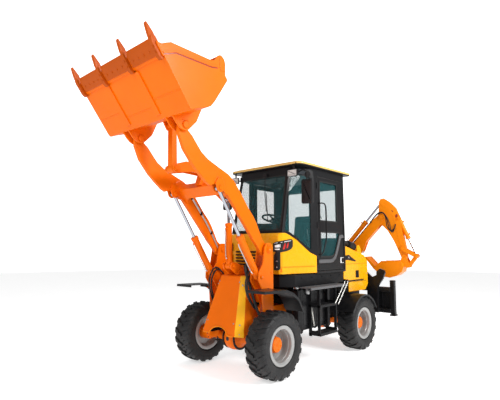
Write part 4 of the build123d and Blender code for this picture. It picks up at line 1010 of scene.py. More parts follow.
for s in (1, -1):
    sh.rod(W(-0.930, s * 0.606, 0.790), W(-0.992, s * 0.606, 0.520), 0.012, 16)
    sh.rod(W(-0.947, s * 0.606, 0.720), W(-0.992, s * 0.606, 0.520), 0.016, 16)
    for x, z in ((-0.930, 0.790), (-0.992, 0.520)):
        sh.rod(W(x, s * 0.592, z), W(x, s * 0.620, z), 0.015, 14)
sh.done("gas_struts", "rear_chassis", "zinc")

# steps
sh = Shape()
for s in (1, -1):
    for z0 in (0.790, 0.400):
        y0, y1 = sorted((s * 0.600, s * 0.790))
        sh.box(-1.340, -0.880, *sorted((s * 0.778, s * 0.790)), z0 - 0.006, z0 + 0.031, 0.003)
        sh.box(-1.340, -0.880, *sorted((s * 0.594, s * 0.604)), z0 - 0.004, z0 + 0.027, 0.003)
        for x0, x1 in ((-1.340, -1.328), (-0.892, -0.880)):
            sh.box(x0, x1, y0, y1, z0 - 0.004, z0 + 0.027, 0.002)
        for k in range(6):
            y = 0.618 + k * 0.029
            sh.box(-1.330, -0.890, *sorted((s * y, s * (y + 0.012))), z0 + 0.006, z0 + 0.024, 0.002)
    for x in (-1.340, -0.900):
        sh.box(x, x + 0.020, *sorted((s * 0.596, s * 0.640)), 0.380, 1.060, 0.003)
        sh.box(x, x + 0.020, *sorted((s * 0.744, s * 0.786)), 0.398, 1.060, 0.003)
        for z in (0.430, 0.820, 1.020):
            sh.box(x + 0.002, x + 0.018, *sorted((s * 0.630, s * 0.752)), z, z + 0.030, 0.002)
sh.done("step_frames", "rear_chassis", "frame", ("side_steps",))
sh = Shape()
for s in (1, -1):
    sh.box(-1.640, -0.640, *sorted((s * 0.602, s * 0.796)), 1.062, 1.078, 0.003)
    # rounded nosing with a grip strip
    sh.prism([(s * 0.792, 1.046), (s * 0.806, 1.046), (s * 0.8105, 1.052), (s * 0.8105, 1.074), (s * 0.804, 1.081), (s * 0.784, 1.081), (s * 0.784, 1.076), (s * 0.792, 1.072)],
             -1.640, -0.640, F(), 0.0)
sh.done("running_boards", "rear_chassis", "grey")
sh = Shape()
for s in (1, -1):
    for i in range(24):
        for k in range(4):
            x = -1.615 + i * 0.0415
            y = 0.632 + k * 0.040
            sh.hull([W(x - 0.012, s * y, 1.0778), W(x + 0.012, s * y, 1.0778), W(x, s * (y - 0.005), 1.0778), W(x, s * (y + 0.005), 1.0778), W(x - 0.004, s * y, 1.0805), W(x + 0.004, s * y, 1.0805)])
sh.done("running_board_treads", "rear_chassis", "grey", wn=False)
# bright handrails beside the rear mudguard
tube("boarding_rails", "rear_chassis", "zinc",
     [[W(-1.655, s * 0.800, 1.115), W(-1.640, s * 0.806, 1.090), W(-1.350, s * 0.806, 0.800)] for s in (1, -1)]
     + [[W(-1.560, s * 0.800, 1.115), W(-1.545, s * 0.806, 1.090), W(-1.262, s * 0.806, 0.815)] for s in (1, -1)], 0.0105, 10, smooth=False)

# ================================================================== cab
soften("cab_shell", "black", 0.003, holes=True)
for n in ("cab_glass", "left_door_glass", "right_door_glass"):
    dress(n, "glass")
# roof: dark soffit, rolled cream edge, crowned top
sh = Shape()
RC = [(-2.030, 0.700), (-0.640, 0.700), (-0.580, 0.640), (-0.580, -0.640), (-0.640, -0.700), (-2.030, -0.700)]  # lower tier


def inset_poly(pts, d):
    out = []
    n = len(pts)
    area = sum(pts[i][0] * pts[(i + 1) % n][1] - pts[(i + 1) % n][0] * pts[i][1] for i in range(n))
    sg = 1 if area > 0 else -1
    for i in range(n):
        p0, p, p1 = Vector(pts[i - 1]), Vector(pts[i]), Vector(pts[(i + 1) % n])
        a, b = (p - p0).normalized(), (p1 - p).normalized()
        na, nb = Vector((-a.y, a.x)) * sg, Vector((-b.y, b.x)) * sg
        m = (na + nb).normalized()
        out.append(tuple(p + m * (d / max(0.2, m.dot(na)))))
    return out


def round_poly(pts, r, seg=4):
    out = []
    n = len(pts)
    for i in range(n):
        p0, p, p1 = Vector(pts[i - 1]), Vector(pts[i]), Vector(pts[(i + 1) % n])
        rr = min(r, (p - p0).length * 0.45, (p1 - p).length * 0.45)
        a, b = p + (p0 - p).normalized() * rr, p + (p1 - p).normalized() * rr
        for k in range(seg + 1):
            t = k / seg
            q = a * (1 - t) ** 2 + p * 2 * t * (1 - t) + b * t ** 2
            out.append((q.x, q.y))
    return out


def stack(sh, rings):
    """rings: list of equal-length point lists in the row frame; closed top and bottom."""
    vs = [[sh.bm.verts.new(p) for p in r] for r in rings]
    fs = [sh.bm.faces.new(vs[0][::-1]), sh.bm.faces.new(vs[-1])]
    n = len(vs[0])
    for A, B in zip(vs, vs[1:]):
        for i in range(n):
            j = (i + 1) % n
            fs.append(sh.bm.faces.new((A[i], A[j], B[j], B[i])))
    bmesh.ops.recalc_face_normals(sh.bm, faces=fs)


base = round_poly(RC, 0.05)
sh = Shape()
stack(sh, [[W(x, y, z) for x, y in inset_poly(base, d)] for d, z in ((0.012, 2.8135), (0.006, 2.8150), (0.004, 2.818), (0.004, 2.828), (0.012, 2.830))])
sh.done("roof_soffit", "rear_chassis", "black", ("cab_roof",))
sh = Shape()
top = [(-1.995, 0.665), (-0.690, 0.665), (-0.620, 0.595), (-0.620, -0.595), (-0.690, -0.665), (-1.995, -0.665)]
up = round_poly(top, 0.05)
stack(sh, [[W(x, y, z) for x, y in inset_poly(base, d)] for d, z in ((0.016, 2.8290), (0.003, 2.8295), (0.0, 2.832), (0.0, 2.853), (0.002, 2.858), (0.008, 2.862), (0.016, 2.8638))])
stack(sh, [[W(x, y, z) for x, y in inset_poly(up, d)] for d, z in ((0.004, 2.863), (0.0, 2.868), (0.004, 2.874), (0.014, 2.879))]
      + [[W(-1.305 + (x + 1.305) * k, y * k, z) for x, y in inset_poly(up, 0.014)] for k, z in ((0.86, 2.886), (0.62, 2.890), (0.35, 2.8915))])
for y in (-0.42, -0.14, 0.14, 0.42):
    sh.box(-1.90, -0.72, y - 0.016, y + 0.016, 2.880, 2.8910, 0.004)
sh.done("roof_top", "rear_chassis", "cream")
sh = Shape()
for x, y in ((-0.72, 0.60), (-1.30, 0.62), (-1.90, 0.60), (-0.72, -0.60), (-1.30, -0.62), (-1.90, -0.60)):
    sh.bolt(W(x, y, 2.8785), (0, 0, 1), 0.007)
sh.done("roof_bolts", "rear_chassis", "zinc")

# window seals
def frame_strip(sh, pts, w, t, place_at):
    """Raised rubber line round a window: pts corners in (u, v); place_at(u, v, n)."""
    n = len(pts)
    inn = inset_poly(pts, w)
    for i in range(n):
        j = (i + 1) % n
        quad = [pts[i], pts[j], inn[j], inn[i]]
        vs = [sh.bm.verts.new(place_at(u, v, 0.0)) for u, v in quad] + [sh.bm.verts.new(place_at(u, v, t)) for u, v in quad]
        fs = [sh.bm.faces.new(vs[0:4]), sh.bm.faces.new(vs[4:8][::-1])]
        for k in range(4):
            m = (k + 1) % 4
            fs.append(sh.bm.faces.new((vs[k], vs[m], vs[m + 4], vs[k + 4])))
        bmesh.ops.recalc_face_normals(sh.bm, faces=fs)


DOOR_UP = [(-1.155, 2.030), (-1.155, 2.635), (-1.655, 2.635), (-1.655, 2.030)]
DOOR_LOW = [(-1.165, 1.490), (-1.165, 1.865), (-1.730, 1.865), (-1.595, 1.580), (-1.550, 1.520), (-1.495, 1.490)]
for s, nm in ((1, "left"), (-1, "right")):
    body = nm + "_door_panel"
    soften(nm + "_door", "black", 0.003, holes=True)
    sh = Shape()
    for pts in (DOOR_UP, DOOR_LOW):
        pr = round_poly(inset_poly(pts, -0.012), 0.030, 5)
        frame_strip(sh, pr, 0.024, 0.006, lambda u, v, n, s=s: W(u, s * (0.6365 + n), v))
    # door edge seal
    frame_strip(sh, round_poly([(-1.838, 1.290), (-1.080, 1.290), (-1.080, 2.700), (-1.838, 2.700)], 0.03, 4), 0.012, 0.0035, lambda u, v, n, s=s: W(u, s * (0.637 + n), v))
    sh.done(nm + "_door_seals", body, "rubber")
    # light moulding along the lower window
    sh = Shape()
    line = [(-1.822, 1.838), (-1.742, 1.832), (-1.722, 1.815), (-1.610, 1.575), (-1.560, 1.500), (-1.500, 1.462), (-1.440, 1.452), (-1.100, 1.452)]
    lo = [(-1.836, 1.782), (-1.770, 1.777), (-1.757, 1.766), (-1.652, 1.545), (-1.596, 1.456), (-1.515, 1.408), (-1.446, 1.396), (-1.100, 1.396)]
    rings = []
    for (u0, v0), (u1, v1) in zip(line, lo):
        mu, mv = (u0 + u1) / 2, (v0 + v1) / 2
        ring = []
        for t, n in ((0.0, 0.0), (0.06, 0.007), (0.22, 0.0115), (0.5, 0.013), (0.78, 0.0115), (0.94, 0.007), (1.0, 0.0)):
            ring.append(sh.bm.verts.new(W(u0 + (u1 - u0) * t, s * (0.637 + n), v0 + (v1 - v0) * t)))
        rings.append(ring)
    fs = []
    for A, B in zip(rings, rings[1:]):
        for i in range(6):
            fs.append(sh.bm.faces.new((A[i], A[i + 1], B[i + 1], B[i])))
        fs.append(sh.bm.faces.new((A[6], A[0], B[0], B[6])))
    fs.append(sh.bm.faces.new(rings[0]))
    fs.append(sh.bm.faces.new(rings[-1][::-1]))
    bmesh.ops.recalc_face_normals(sh.bm, faces=fs)
    sh.done(nm + "_door_moulding", body, "grey")
    # lower panel pressing
    sh = Shape()
    frame_strip(sh, round_poly([(-1.800, 1.315), (-1.105, 1.315), (-1.105, 1.372), (-1.800, 1.372)], 0.02, 3), 0.010, 0.004, lambda u, v, n, s=s: W(u, s * (0.6375 + n), v))
    sh.done(nm + "_door_pressing", body, "black")
    # latch
    sh = Shape()
    y0, y1 = sorted((s * 0.637, s * 0.648))
    sh.box(-1.822, -1.728, y0, y1, 1.386, 1.474, 0.005)
    sh.done(nm + "_latch_plate", body, "white")
    sh = Shape()
    y0, y1 = sorted((s * 0.646, s * 0.653))
    sh.box(-1.808, -1.750, y0, y1, 1.403, 1.457, 0.004)
    sh.rod(W(-1.782, s * 0.650, 1.430), W(-1.782, s * 0.660, 1.430), 0.013, 18)
    sh.done(nm + "_latch_button", body, "plastic")
    sh = Shape()
    for z in (1.420, 1.960, 2.560):
        sh.rod(W(-1.080, s * 0.645, z - 0.042), W(-1.080, s * 0.645, z + 0.042), 0.0125, 18)
        sh.box(-1.132, -1.086, *sorted((s * 0.637, s * 0.6455)), z - 0.033, z + 0.033, 0.003)
        sh.bolt(W(-1.118, s * 0.645, z + 0.016), (0, s, 0), 0.006, washer=False)
        sh.bolt(W(-1.118, s * 0.645, z - 0.016), (0, s, 0), 0.006, washer=False)
    sh.done(nm + "_door_hinges", body, "black")
    tube(nm + "_grab_handle", body, "black",
         [[W(-1.118, s * 0.638, 2.290), W(-1.122, s * 0.680, 2.296), W(-1.190, s * 0.694, 2.296), W(-1.235, s * 0.698, 2.262), W(-1.240, s * 0.698, 2.05), W(-1.240, s * 0.698, 1.90),
           W(-1.232, s * 0.698, 1.74), W(-1.195, s * 0.697, 1.66), W(-1.160, s * 0.694, 1.58), W(-1.135, s * 0.686, 1.530), W(-1.122, s * 0.638, 1.524)]], 0.011, 12)

# windscreen and side-window rubbers on the shell
def cab_front(z):
    t = (z - 1.830) / 0.982
    return -0.412 - t * 0.210


sh = Shape()
ws = round_poly([(-0.455, 1.870), (0.455, 1.870), (0.438, 2.685), (-0.438, 2.685)], 0.03, 5)
frame_strip(sh, inset_poly(ws, -0.008), 0.020, 0.005, lambda u, v, n: W(cab_front(v) - 0.001 + n, u, v))
rw = round_poly([(-0.500, 1.750), (0.500, 1.750), (0.500, 2.600), (-0.500, 2.600)], 0.05, 5)
frame_strip(sh, inset_poly(rw, -0.008), 0.022, 0.006, lambda u, v, n: W(-1.8795 - n, u, v))
sh.done("window_rubbers", "rear_chassis", "rubber")

# wiper, header lining, inside mirror
tube("wiper_arms", "rear_chassis", "plastic",
     [[W(cab_front(2.70) + 0.020, 0.05, 2.70), W(cab_front(2.40) + 0.024, 0.10, 2.40), W(cab_front(2.15) + 0.020, 0.17, 2.15)],
      [W(cab_front(2.43) + 0.014, 0.110, 2.43), W(cab_front(2.00) + 0.012, 0.215, 2.00)],
      [W(-1.890, 0.02, 2.58), W(-1.896, 0.12, 2.30), W(-1.894, 0.20, 2.12)]], 0.006, 8, smooth=False)
sh = Shape()
sh.box(cab_front(2.71) + 0.006, cab_front(2.71) + 0.034, 0.015, 0.085, 2.690, 2.745, 0.006)
sh.done("wiper_motor", "rear_chassis", "plastic")
sh = Shape()
sh.prism([(-0.700, 2.690), (-0.690, 2.700), (-0.700, 2.775), (-1.840, 2.775), (-1.840, 2.730), (-1.700, 2.715), (-0.900, 2.715)], -0.585, 0.585, S(), 0.008)
sh.box(-0.860, -0.700, -0.300, 0.300, 2.680, 2.720, 0.012)
sh.done("headliner", "rear_chassis", "trim")
sh = Shape()
sh.box(-0.745, -0.722, 0.030, 0.240, 2.520, 2.610, 0.012, 3)
sh.rod(W(-0.735, 0.140, 2.605), W(-0.745, 0.140, 2.690), 0.007, 10)
sh.done("inside_mirror", "rear_chassis", "plastic")

# dash and instruments
sh = Shape()
sh.prism([(-0.470, 1.820), (-0.475, 1.862), (-0.520, 1.872), (-0.600, 1.868), (-0.700, 1.822), (-0.760, 1.750), (-0.745, 1.700), (-0.640, 1.560), (-0.600, 1.560), (-0.600, 1.760), (-0.520, 1.822)], -0.440, 0.440, S(), 0.016, 3)
sh.prism([(-0.560, 1.850), (-0.590, 1.950), (-0.630, 1.990), (-0.668, 1.985), (-0.700, 1.800)], -0.190, 0.190, S(), 0.012, 3)
sh.done("dashboard", "rear_chassis", "trim")
sh = Shape()
nn = Vector((-0.5, 0, 0.86)).normalized()
for y in (-0.10, 0.0, 0.10):
    sh.lathe([(-0.006, 0), (-0.006, 0.036), (0.006, 0.036), (0.006, 0.030), (0.003, 0.029), (0.003, 0)], W(-0.682, y, 1.925), nn, 28, closed=False)
sh.done("gauges", "rear_chassis", "plastic")
# floor console beside the seat with levers
sh = Shape()
for s in (1, -1):
    sh.box(-1.600, -1.150, *sorted((s * 0.300, s * 0.420)), 1.248, 1.740, 0.02, 3)
sh.box(-1.850, -1.700, -0.42, 0.42, 1.250, 1.300, 0.01)
sh.done("side_consoles", "rear_chassis", "trim")
sh = Shape()
for i, (x, y) in enumerate(((-1.230, -0.36), (-1.300, -0.36), (-1.370, -0.36), (-1.250, 0.36), (-1.330, 0.36))):
    sh.rod(W(x, y, 1.735), W(x + 0.030, y, 1.930), 0.006, 10)
sh.done("lever_stalks", "rear_chassis", "steel")
sh = Shape()
for i, (x, y) in enumerate(((-1.230, -0.36), (-1.300, -0.36), (-1.370, -0.36), (-1.250, 0.36), (-1.330, 0.36))):
    sh.lathe([(-0.030, 0), (-0.028, 0.010), (-0.012, 0.018), (0.006, 0.021), (0.020, 0.016), (0.027, 0.0)], W(x + 0.033, y, 1.945), (0.17, 0, 1), 18, closed=False)
    sh.lathe([(0, 0.030), (0.020, 0.012), (0.020, 0.006), (0, 0.006)], W(x, y, 1.738), (0.1, 0, 1), 18)
sh.done("lever_knobs", "rear_chassis", "plastic")

# steering wheel on its column
C0, C1 = W(-0.596, 0, 1.262), W(-0.816, 0, 1.962)
WN = Vector((-0.300, 0, 0.954)).normalized()
WC = W(-0.850, 0, 2.070)
sh = Shape()
ax = (C1 - C0).normalized()
L = (C1 - C0).length
sh.lathe([(0, 0), (0, 0.060), (0.04, 0.048), (0.12, 0.044), (L - 0.14, 0.044), (L - 0.10, 0.052), (L - 0.01, 0.052), (L, 0.040), (L + 0.004, 0.0)], C0, ax, 32, closed=False)
sh.rod(C1, WC - WN * 0.01, 0.020, 20)
sh.rod(C1 + Vector((0.02, 0.03, -0.03)), C1 + Vector((0.03, 0.17, 0.01)), 0.007, 10)
sh.rod(C1 + Vector((0.02, -0.03, -0.03)), C1 + Vector((0.03, -0.17, 0.01)), 0.007, 10)
sh.done("steering_tube", "rear_chassis", "trim", ("steering_column",))
sh = Shape()
R0, r0 = 0.184, 0.0150
uu = WN.orthogonal().normalized()
vv = WN.cross(uu)
prev, first = None, None
for i in range(64):
    t = 2 * math.pi * i / 64
    d = uu * math.cos(t) + vv * math.sin(t)
    grip = r0 - (0.0012 if i % 4 == 0 else 0)
    ring = [sh.bm.verts.new(WC + d * (R0 + grip * math.cos(a)) + WN * grip * math.sin(a)) for a in (2 * math.pi * k / 12 for k in range(12))]
    if prev:
        for k in range(12):
            sh.bm.faces.new((prev[k], prev[(k + 1) % 12], ring[(k + 1) % 12], ring[k]))
    else:
        first = ring
    prev = ring
for k in range(12):
    sh.bm.faces.new((prev[k], prev[(k + 1) % 12], first[(k + 1) % 12], first[k]))
for a in (90, 210, 330):
    d = (uu * math.cos(math.radians(a)) + vv * math.sin(math.radians(a)))
    e = WN.cross(d)
    sh.hull([WC + d * q + e * h * k + WN * z for q, h, z0 in ((0.03, 0.022, -0.012), (0.178, 0.012, 0.0)) for k in (1, -1) for z in (z0 - 0.005, z0 + 0.005)], 0.003)
sh.lathe([(-0.024, 0), (-0.024, 0.034), (-0.010, 0.046), (0.004, 0.044), (0.010, 0.030), (0.012, 0)], WC, WN, 32, closed=False)
kd = uu * math.cos(math.radians(60)) + vv * math.sin(math.radians(60))
sh.rod(WC + kd * 0.182 + WN * 0.010, WC + kd * 0.182 + WN * 0.052, 0.016, 18, 0.006)
bmesh.ops.recalc_face_normals(sh.bm, faces=sh.bm.faces)
sh.done("steering_wheel", "rear_chassis", "plastic")

# ------------------------------------------------------------------ driver's seat
def cushion(name, loops, mat, body, puff=1.0):
    """Loops of points (row frame) from one end to the other; subdivided and crowned."""
    bm = bmesh.new()
    vs = [[bm.verts.new(p) for p in lp] for lp in loops]
    n = len(vs[0])
    for A, B in zip(vs, vs[1:]):
        for i in range(n):
            j = (i + 1) % n
            bm.faces.new((A[i], A[j], B[j], B[i]))
    bm.faces.new(vs[0][::-1])
    bm.faces.new(vs[-1])
    bmesh.ops.recalc_face_normals(bm, faces=bm.faces)
    me = bpy.data.meshes.new(name)
    bm.to_mesh(me)
    bm.free()
    o = bpy.data.objects.new(name + "_t", me)
    bpy.context.scene.collection.objects.link(o)
    md = o.modifiers.new("s", "SUBSURF")
    md.levels = md.render_levels = 3
    bpy.context.view_layer.update()
    me2 = bpy.data.meshes.new_from_object(o.evaluated_get(bpy.context.evaluated_depsgraph_get()))
    bpy.data.objects.remove(o)
    me2.name = name
    for p in me2.polygons:
        p.use_smooth = True
    return me2


def seam(me, func, depth=0.004, width=0.010):
    """Presses a sewn channel where func(p) is near zero."""
    for v in me.vertices:
        d = abs(func(v.co))
        if d < width * 2.5:
            v.co -= v.normal * depth * math.exp(-(d / width) ** 2)
    return me


def seat():
    # base cushion: rounded front roll and side bolsters
    loops = []
    for y, k in ((-0.218, 0.80), (-0.205, 0.94), (-0.165, 1.0), (-0.145, 0.97), (-0.05, 0.95), (0.05, 0.95), (0.145, 0.97), (0.165, 1.0), (0.205, 0.94), (0.218, 0.80)):
        zt = 1.582 + (1.686 - 1.582) * k
        bol = 0.006 if abs(y) > 0.15 and k == 1.0 else 0.0
        loops.append([W(-1.612, y, 1.590), W(-1.612, y, zt - 0.012), W(-1.560, y, zt - 0.004 + bol), W(-1.420, y, zt - 0.010 + bol), W(-1.290, y, zt + bol), W(-1.215, y, zt - 0.012),
                      W(-1.186, y, zt - 0.045), W(-1.190, y, 1.598), W(-1.300, y, 1.584), W(-1.500, y, 1.584)])
    me = cushion("seat_cushion_m", loops, "vinyl", "rear_chassis")
    for off in (-0.075, 0.0, 0.075):
        seam(me, lambda p, off=off: (p.y - SY) - off if p.z > 1.63 and -1.58 < p.x - SX < -1.25 else 1.0, 0.006, 0.007)
    seam(me, lambda p: abs(p.y - SY) - 0.150 if p.z > 1.62 else 1.0, 0.007, 0.007)
    o = put(me, "seat_cushion", "rear_chassis", "vinyl", ("driver_seat",))
    # back: from the base up, with side bolsters and a head roll
    loops = []
    for y, k in ((-0.208, 0.70), (-0.198, 0.92), (-0.160, 1.0), (-0.138, 0.93), (-0.05, 0.88), (0.05, 0.88), (0.138, 0.93), (0.160, 1.0), (0.198, 0.92), (0.208, 0.70)):
        def bx(t, f):
            # t up the back 0..1, f from rear (0) to front (1)
            x = -1.700 - 0.058 * t + (0.104 - 0.010 * t) * f * k
            return x
        zt = 1.675
        H = 0.500
        loops.append([W(bx(0, 0), y, zt), W(bx(0.5, 0) + 0.006, y, zt + H * 0.5), W(bx(0.92, 0), y, zt + H * 0.92), W(bx(1, 0.35), y, zt + H * (0.985 if abs(y) < 0.19 else 0.95)),
                      W(bx(0.98, 0.8), y, zt + H * 0.965), W(bx(0.88, 1.0), y, zt + H * 0.88), W(bx(0.74, 0.90), y, zt + H * 0.74), W(bx(0.5, 0.92), y, zt + H * 0.5), W(bx(0.25, 1.02), y, zt + H * 0.25),
                      W(bx(0.04, 0.95), y, zt + H * 0.03)])
    me = cushion("seat_back_m", loops, "vinyl", "rear_chassis")
    for off in (-0.070, 0.0, 0.070):
        seam(me, lambda p, off=off: (p.y - SY) - off if p.z < 2.06 and p.x - SX > -1.70 + (1.73 - p.z) * 0.1 else 1.0, 0.006, 0.007)
    seam(me, lambda p: p.z - 2.055 if p.x - SX > -1.735 and abs(p.y - SY) < 0.15 else 1.0, 0.007, 0.008)
    seam(me, lambda p: abs(p.y - SY) - 0.145 if p.x - SX > -1.70 and p.z < 2.08 else 1.0, 0.007, 0.007)
    o = put(me, "seat_back", "rear_chassis", "vinyl")


seat()
sh = Shape()
sh.prism([(-1.560, 1.249), (-1.560, 1.430), (-1.585, 1.570), (-1.245, 1.570), (-1.260, 1.430), (-1.260, 1.249)], -0.150, 0.150, S(), 0.012, 3)
sh.box(-1.600, -1.200, -0.200, 0.200, 1.562, 1.582, 0.008)
sh.prism([(-1.640, 1.570), (-1.600, 1.570), (-1.690, 1.750), (-1.715, 1.750)], -0.185, -0.160, S(), 0.004)
sh.prism([(-1.640, 1.570), (-1.600, 1.570), (-1.690, 1.750), (-1.715, 1.750)], 0.160, 0.185, S(), 0.004)
for k in range(7):
    sh.box(-1.570 - 0.002 * k, -1.250 + 0.002 * k, -0.158, 0.158, 1.436 + k * 0.018, 1.446 + k * 0.018, 0.004)
sh.done("seat_suspension", "rear_chassis", "plastic")

# ================================================================== hood
soften("hood", "yellow", 0.012, 4, 20, holes=True)

def hood_path(s):
    """Plan line of the hood: arc length s from the front centre, returns (x, y, nx, ny)."""
    pts = [(-0.340, 0.0), (-0.340, 0.455), (-0.400, 0.512), (-1.050, 0.644)]
    for (x0, y0), (x1, y1) in zip(pts, pts[1:]):
        L = math.hypot(x1 - x0, y1 - y0)
        if s <= L or (x1, y1) == pts[-1]:
            t = s / L
            return x0 + (x1 - x0) * t, y0 + (y1 - y0) * t, (y1 - y0) / L, -(x1 - x0) / L
        s -= L


def smooth_path(s, w=0.03):
    acc = [hood_path(max(0.0, s + w * k / 3)) for k in range(-3, 4)]
    x, y, nx, ny = (sum(a[i] for a in acc) / 7 for i in range(4))
    L = math.hypot(nx, ny)
    return x, y, nx / L, ny / L


def hood_patch(name, columns, mat, side_, out, thick=0.004, round_=0.008, end_round=True):
    """columns: (s, z low, z high) along the hood's side; a shell standing out from the panel."""
    sh = Shape()
    rings = []
    n = len(columns)
    for i, (s0, zl, zh) in enumerate(columns):
        x, y, nx, ny = smooth_path(s0)
        k = 1.0
        if end_round and (i == 0 or i == n - 1):
            k = 0.55
        ring = []
        rr = min(round_, (zh - zl) * 0.3)
        for z, o in ((zl, -0.004), (zl, out * 0.55 * k), (zl + rr * 0.4, out * 0.85 * k), (zl + rr, out * k), ((zl + zh) / 2, out * k), (zh - rr, out * k), (zh - rr * 0.4, out * 0.85 * k),
                     (zh, out * 0.55 * k), (zh, -0.004)):
            ring.append(sh.bm.verts.new(W(x + nx * o, side_ * (y + ny * o), z)))
        rings.append(ring)
    fs = []
    m = len(rings[0])
    for A, B in zip(rings, rings[1:]):
        for i in range(m):
            j = (i + 1) % m
            fs.append(sh.bm.faces.new((A[i], A[j], B[j], B[i])))
    fs.append(sh.bm.faces.new(rings[0]))
    fs.append(sh.bm.faces.new(rings[-1][::-1]))
    bmesh.ops.recalc_face_normals(sh.bm, faces=fs)
    return sh.done(name, "rear_chassis", mat)


for sd, nm in ((1, "left"), (-1, "right")):
    # lamp pod round the corner, its tail below
    hood_patch(nm + "_pod", [(0.395, 1.580, 1.670), (0.402, 1.572, 1.690), (0.43, 1.566, 1.703), (0.46, 1.562, 1.710), (0.49, 1.563, 1.716), (0.53, 1.568, 1.724), (0.58, 1.576, 1.732),
                             (0.63, 1.588, 1.740), (0.67, 1.602, 1.745), (0.695, 1.618, 1.747), (0.708, 1.640, 1.740), (0.712, 1.665, 1.725)], "plastic", sd, 0.020)
    hood_patch(nm + "_pod_tail", [(0.405, 1.330, 1.470), (0.412, 1.318, 1.530), (0.44, 1.316, 1.575), (0.47, 1.318, 1.58), (0.492, 1.325, 1.58), (0.500, 1.340, 1.578), (0.502, 1.36, 1.576)], "plastic", sd, 0.013)
    hood_patch(nm + "_pod_line", [(0.425, 1.684, 1.691), (0.46, 1.689, 1.697), (0.52, 1.698, 1.706), (0.58, 1.707, 1.716), (0.63, 1.714, 1.723), (0.672, 1.721, 1.730)], "white", sd, 0.0212, round_=0.001, end_round=False)
    hood_patch(nm + "_pod_mark_a", [(0.432, 1.630, 1.660), (0.46, 1.628, 1.668), (0.50, 1.632, 1.676)], "white", sd, 0.0212, round_=0.001, end_round=False)
    hood_patch(nm + "_pod_mark_b", [(0.432, 1.596, 1.614), (0.46, 1.594, 1.614), (0.49, 1.596, 1.617)], "white", sd, 0.0212, round_=0.001, end_round=False)
    for k, s0 in enumerate((0.535, 0.590)):
        hood_patch(nm + "_pod_bar_" + "ab"[k], [(s0, 1.600 + 0.018 * k, 1.625 + 0.018 * k), (s0 + 0.012, 1.601 + 0.018 * k, 1.655 + 0.012 * k), (s0 + 0.024, 1.612 + 0.018 * k, 1.688 + 0.012 * k),
                                              (s0 + 0.036, 1.650 + 0.012 * k, 1.692 + 0.012 * k)], "red", sd, 0.0212, round_=0.001, end_round=False)
    # panel crease near the bottom, bead above the sill
    hood_patch(nm + "_hood_crease", [(0.500 + 0.02 * i, 1.352, 1.366) for i in range(34)], "amber", sd, 0.0035, round_=0.004)
    hood_patch(nm + "_hood_sill", [(0.500 + 0.02 * i, 1.264, 1.284) for i in range(34)], "yellow", sd, 0.005, round_=0.006)
    # orange corner flash
    hood_patch(nm + "_hood_corner", [(0.503, 1.290, 1.344), (0.52, 1.290, 1.344), (0.555, 1.290, 1.344)], "orange", sd, 0.0022, round_=0.002)
sh = Shape()
for s in (1, -1):
    for z in (1.36, 1.44):
        x, y, nx, ny = smooth_path(0.455)
        sh.bolt(W(x + nx * 0.012, s * (y + ny * 0.012), z), (nx, s * ny, 0), 0.009)
sh.done("pod_bolts", "rear_chassis", "steel")
# front vents in the cowl
sh = Shape()
for k in range(6):
    sh.box(-0.345, -0.332, -0.330, 0.330, 1.330 + k * 0.045, 1.352 + k * 0.045, 0.004)
sh.done("cowl_louvres", "rear_chassis", "matte")
sh = Shape()
sh.box(-1.120, -0.440, -0.505, 0.505, 1.248, 1.262, 0.003)
for s in (1, -1):
    sh.prism([(-0.420, s * 0.425), (-0.560, s * 0.595), (-1.880, s * 0.595), (-1.880, s * 0.560), (-0.600, s * 0.560), (-0.460, s * 0.400)], 1.150, 1.236, T(), 0.004)
    for x in (-0.72, -0.98, -1.24, -1.50, -1.76):
        sh.bolt(W(x, s * 0.6005, 1.200), (0, s, 0), 0.010)
sh.done("cab_sill", "rear_chassis", "frame")

# ================================================================== mirrors and lamps
for s, nm in ((1, "left"), (-1, "right")):
    sh = Shape()
    y0, y1 = sorted((s * 0.692, s * 0.888))
    pr = round_poly([(y0, 2.240), (y1, 2.240), (y1, 2.590), (y0, 2.590)], 0.034, 5)
    stack(sh, [[W(x, y, z) for y, z in inset_poly(pr, d)] for d, x in ((0.004, -0.6235), (0.0, -0.6200), (0.0, -0.607), (0.006, -0.598), (0.020, -0.590), (0.050, -0.5865))])
    # ribs on the housing's front face
    for k in range(9):
        z = 2.286 + k * 0.031
        sh.box(-0.590, -0.5852, y0 + 0.036, y1 - 0.036, z, z + 0.013, 0.002)
    sh.done(nm + "_mirror_housing", "rear_chassis", "plastic", ("rear_view_mirrors",))
    sh = Shape()
    pr = round_poly([(y0 + 0.010, 2.252), (y1 - 0.010, 2.252), (y1 - 0.010, 2.578), (y0 + 0.010, 2.578)], 0.028, 5)
    stack(sh, [[W(x, y, z) for y, z in inset_poly(pr, d)] for d, x in ((0.003, -0.6250), (0.0, -0.6232))])
    sh.done(nm + "_mirror_glass", "rear_chassis", "mirror")
    sh = Shape()
    # small round mirror over it, pad and clamps of the arm
    sh.lathe([(-0.018, 0), (-0.018, 0.044), (-0.008, 0.050), (0.004, 0.050), (0.014, 0.040), (0.018, 0.018), (0.019, 0)], W(-0.622, s * 0.790, 2.650), (1, 0, 0), 32, closed=False)
    sh.rod(W(-0.698, s * 0.518, 2.700), W(-0.6915, s * 0.533, 2.700), 0.020, 20)
    sh.box(-0.622, -0.588, *sorted((s * 0.774, s * 0.806)), 2.350, 2.385, 0.005)
    sh.box(-0.622, -0.588, *sorted((s * 0.774, s * 0.806)), 2.500, 2.530, 0.005)
    sh.done(nm + "_mirror_brackets", "rear_chassis", "plastic")
tube("mirror_arms", "rear_chassis", "plastic",
     [[W(-0.694, s * 0.526, 2.700), W(-0.640, s * 0.650, 2.720), W(-0.618, s * 0.705, 2.729), W(-0.609, s * 0.770, 2.712), W(-0.605, s * 0.792, 2.700), W(-0.605, s * 0.790, 2.660), W(-0.605, s * 0.790, 2.400)] for s in (1, -1)], 0.0095, 10)

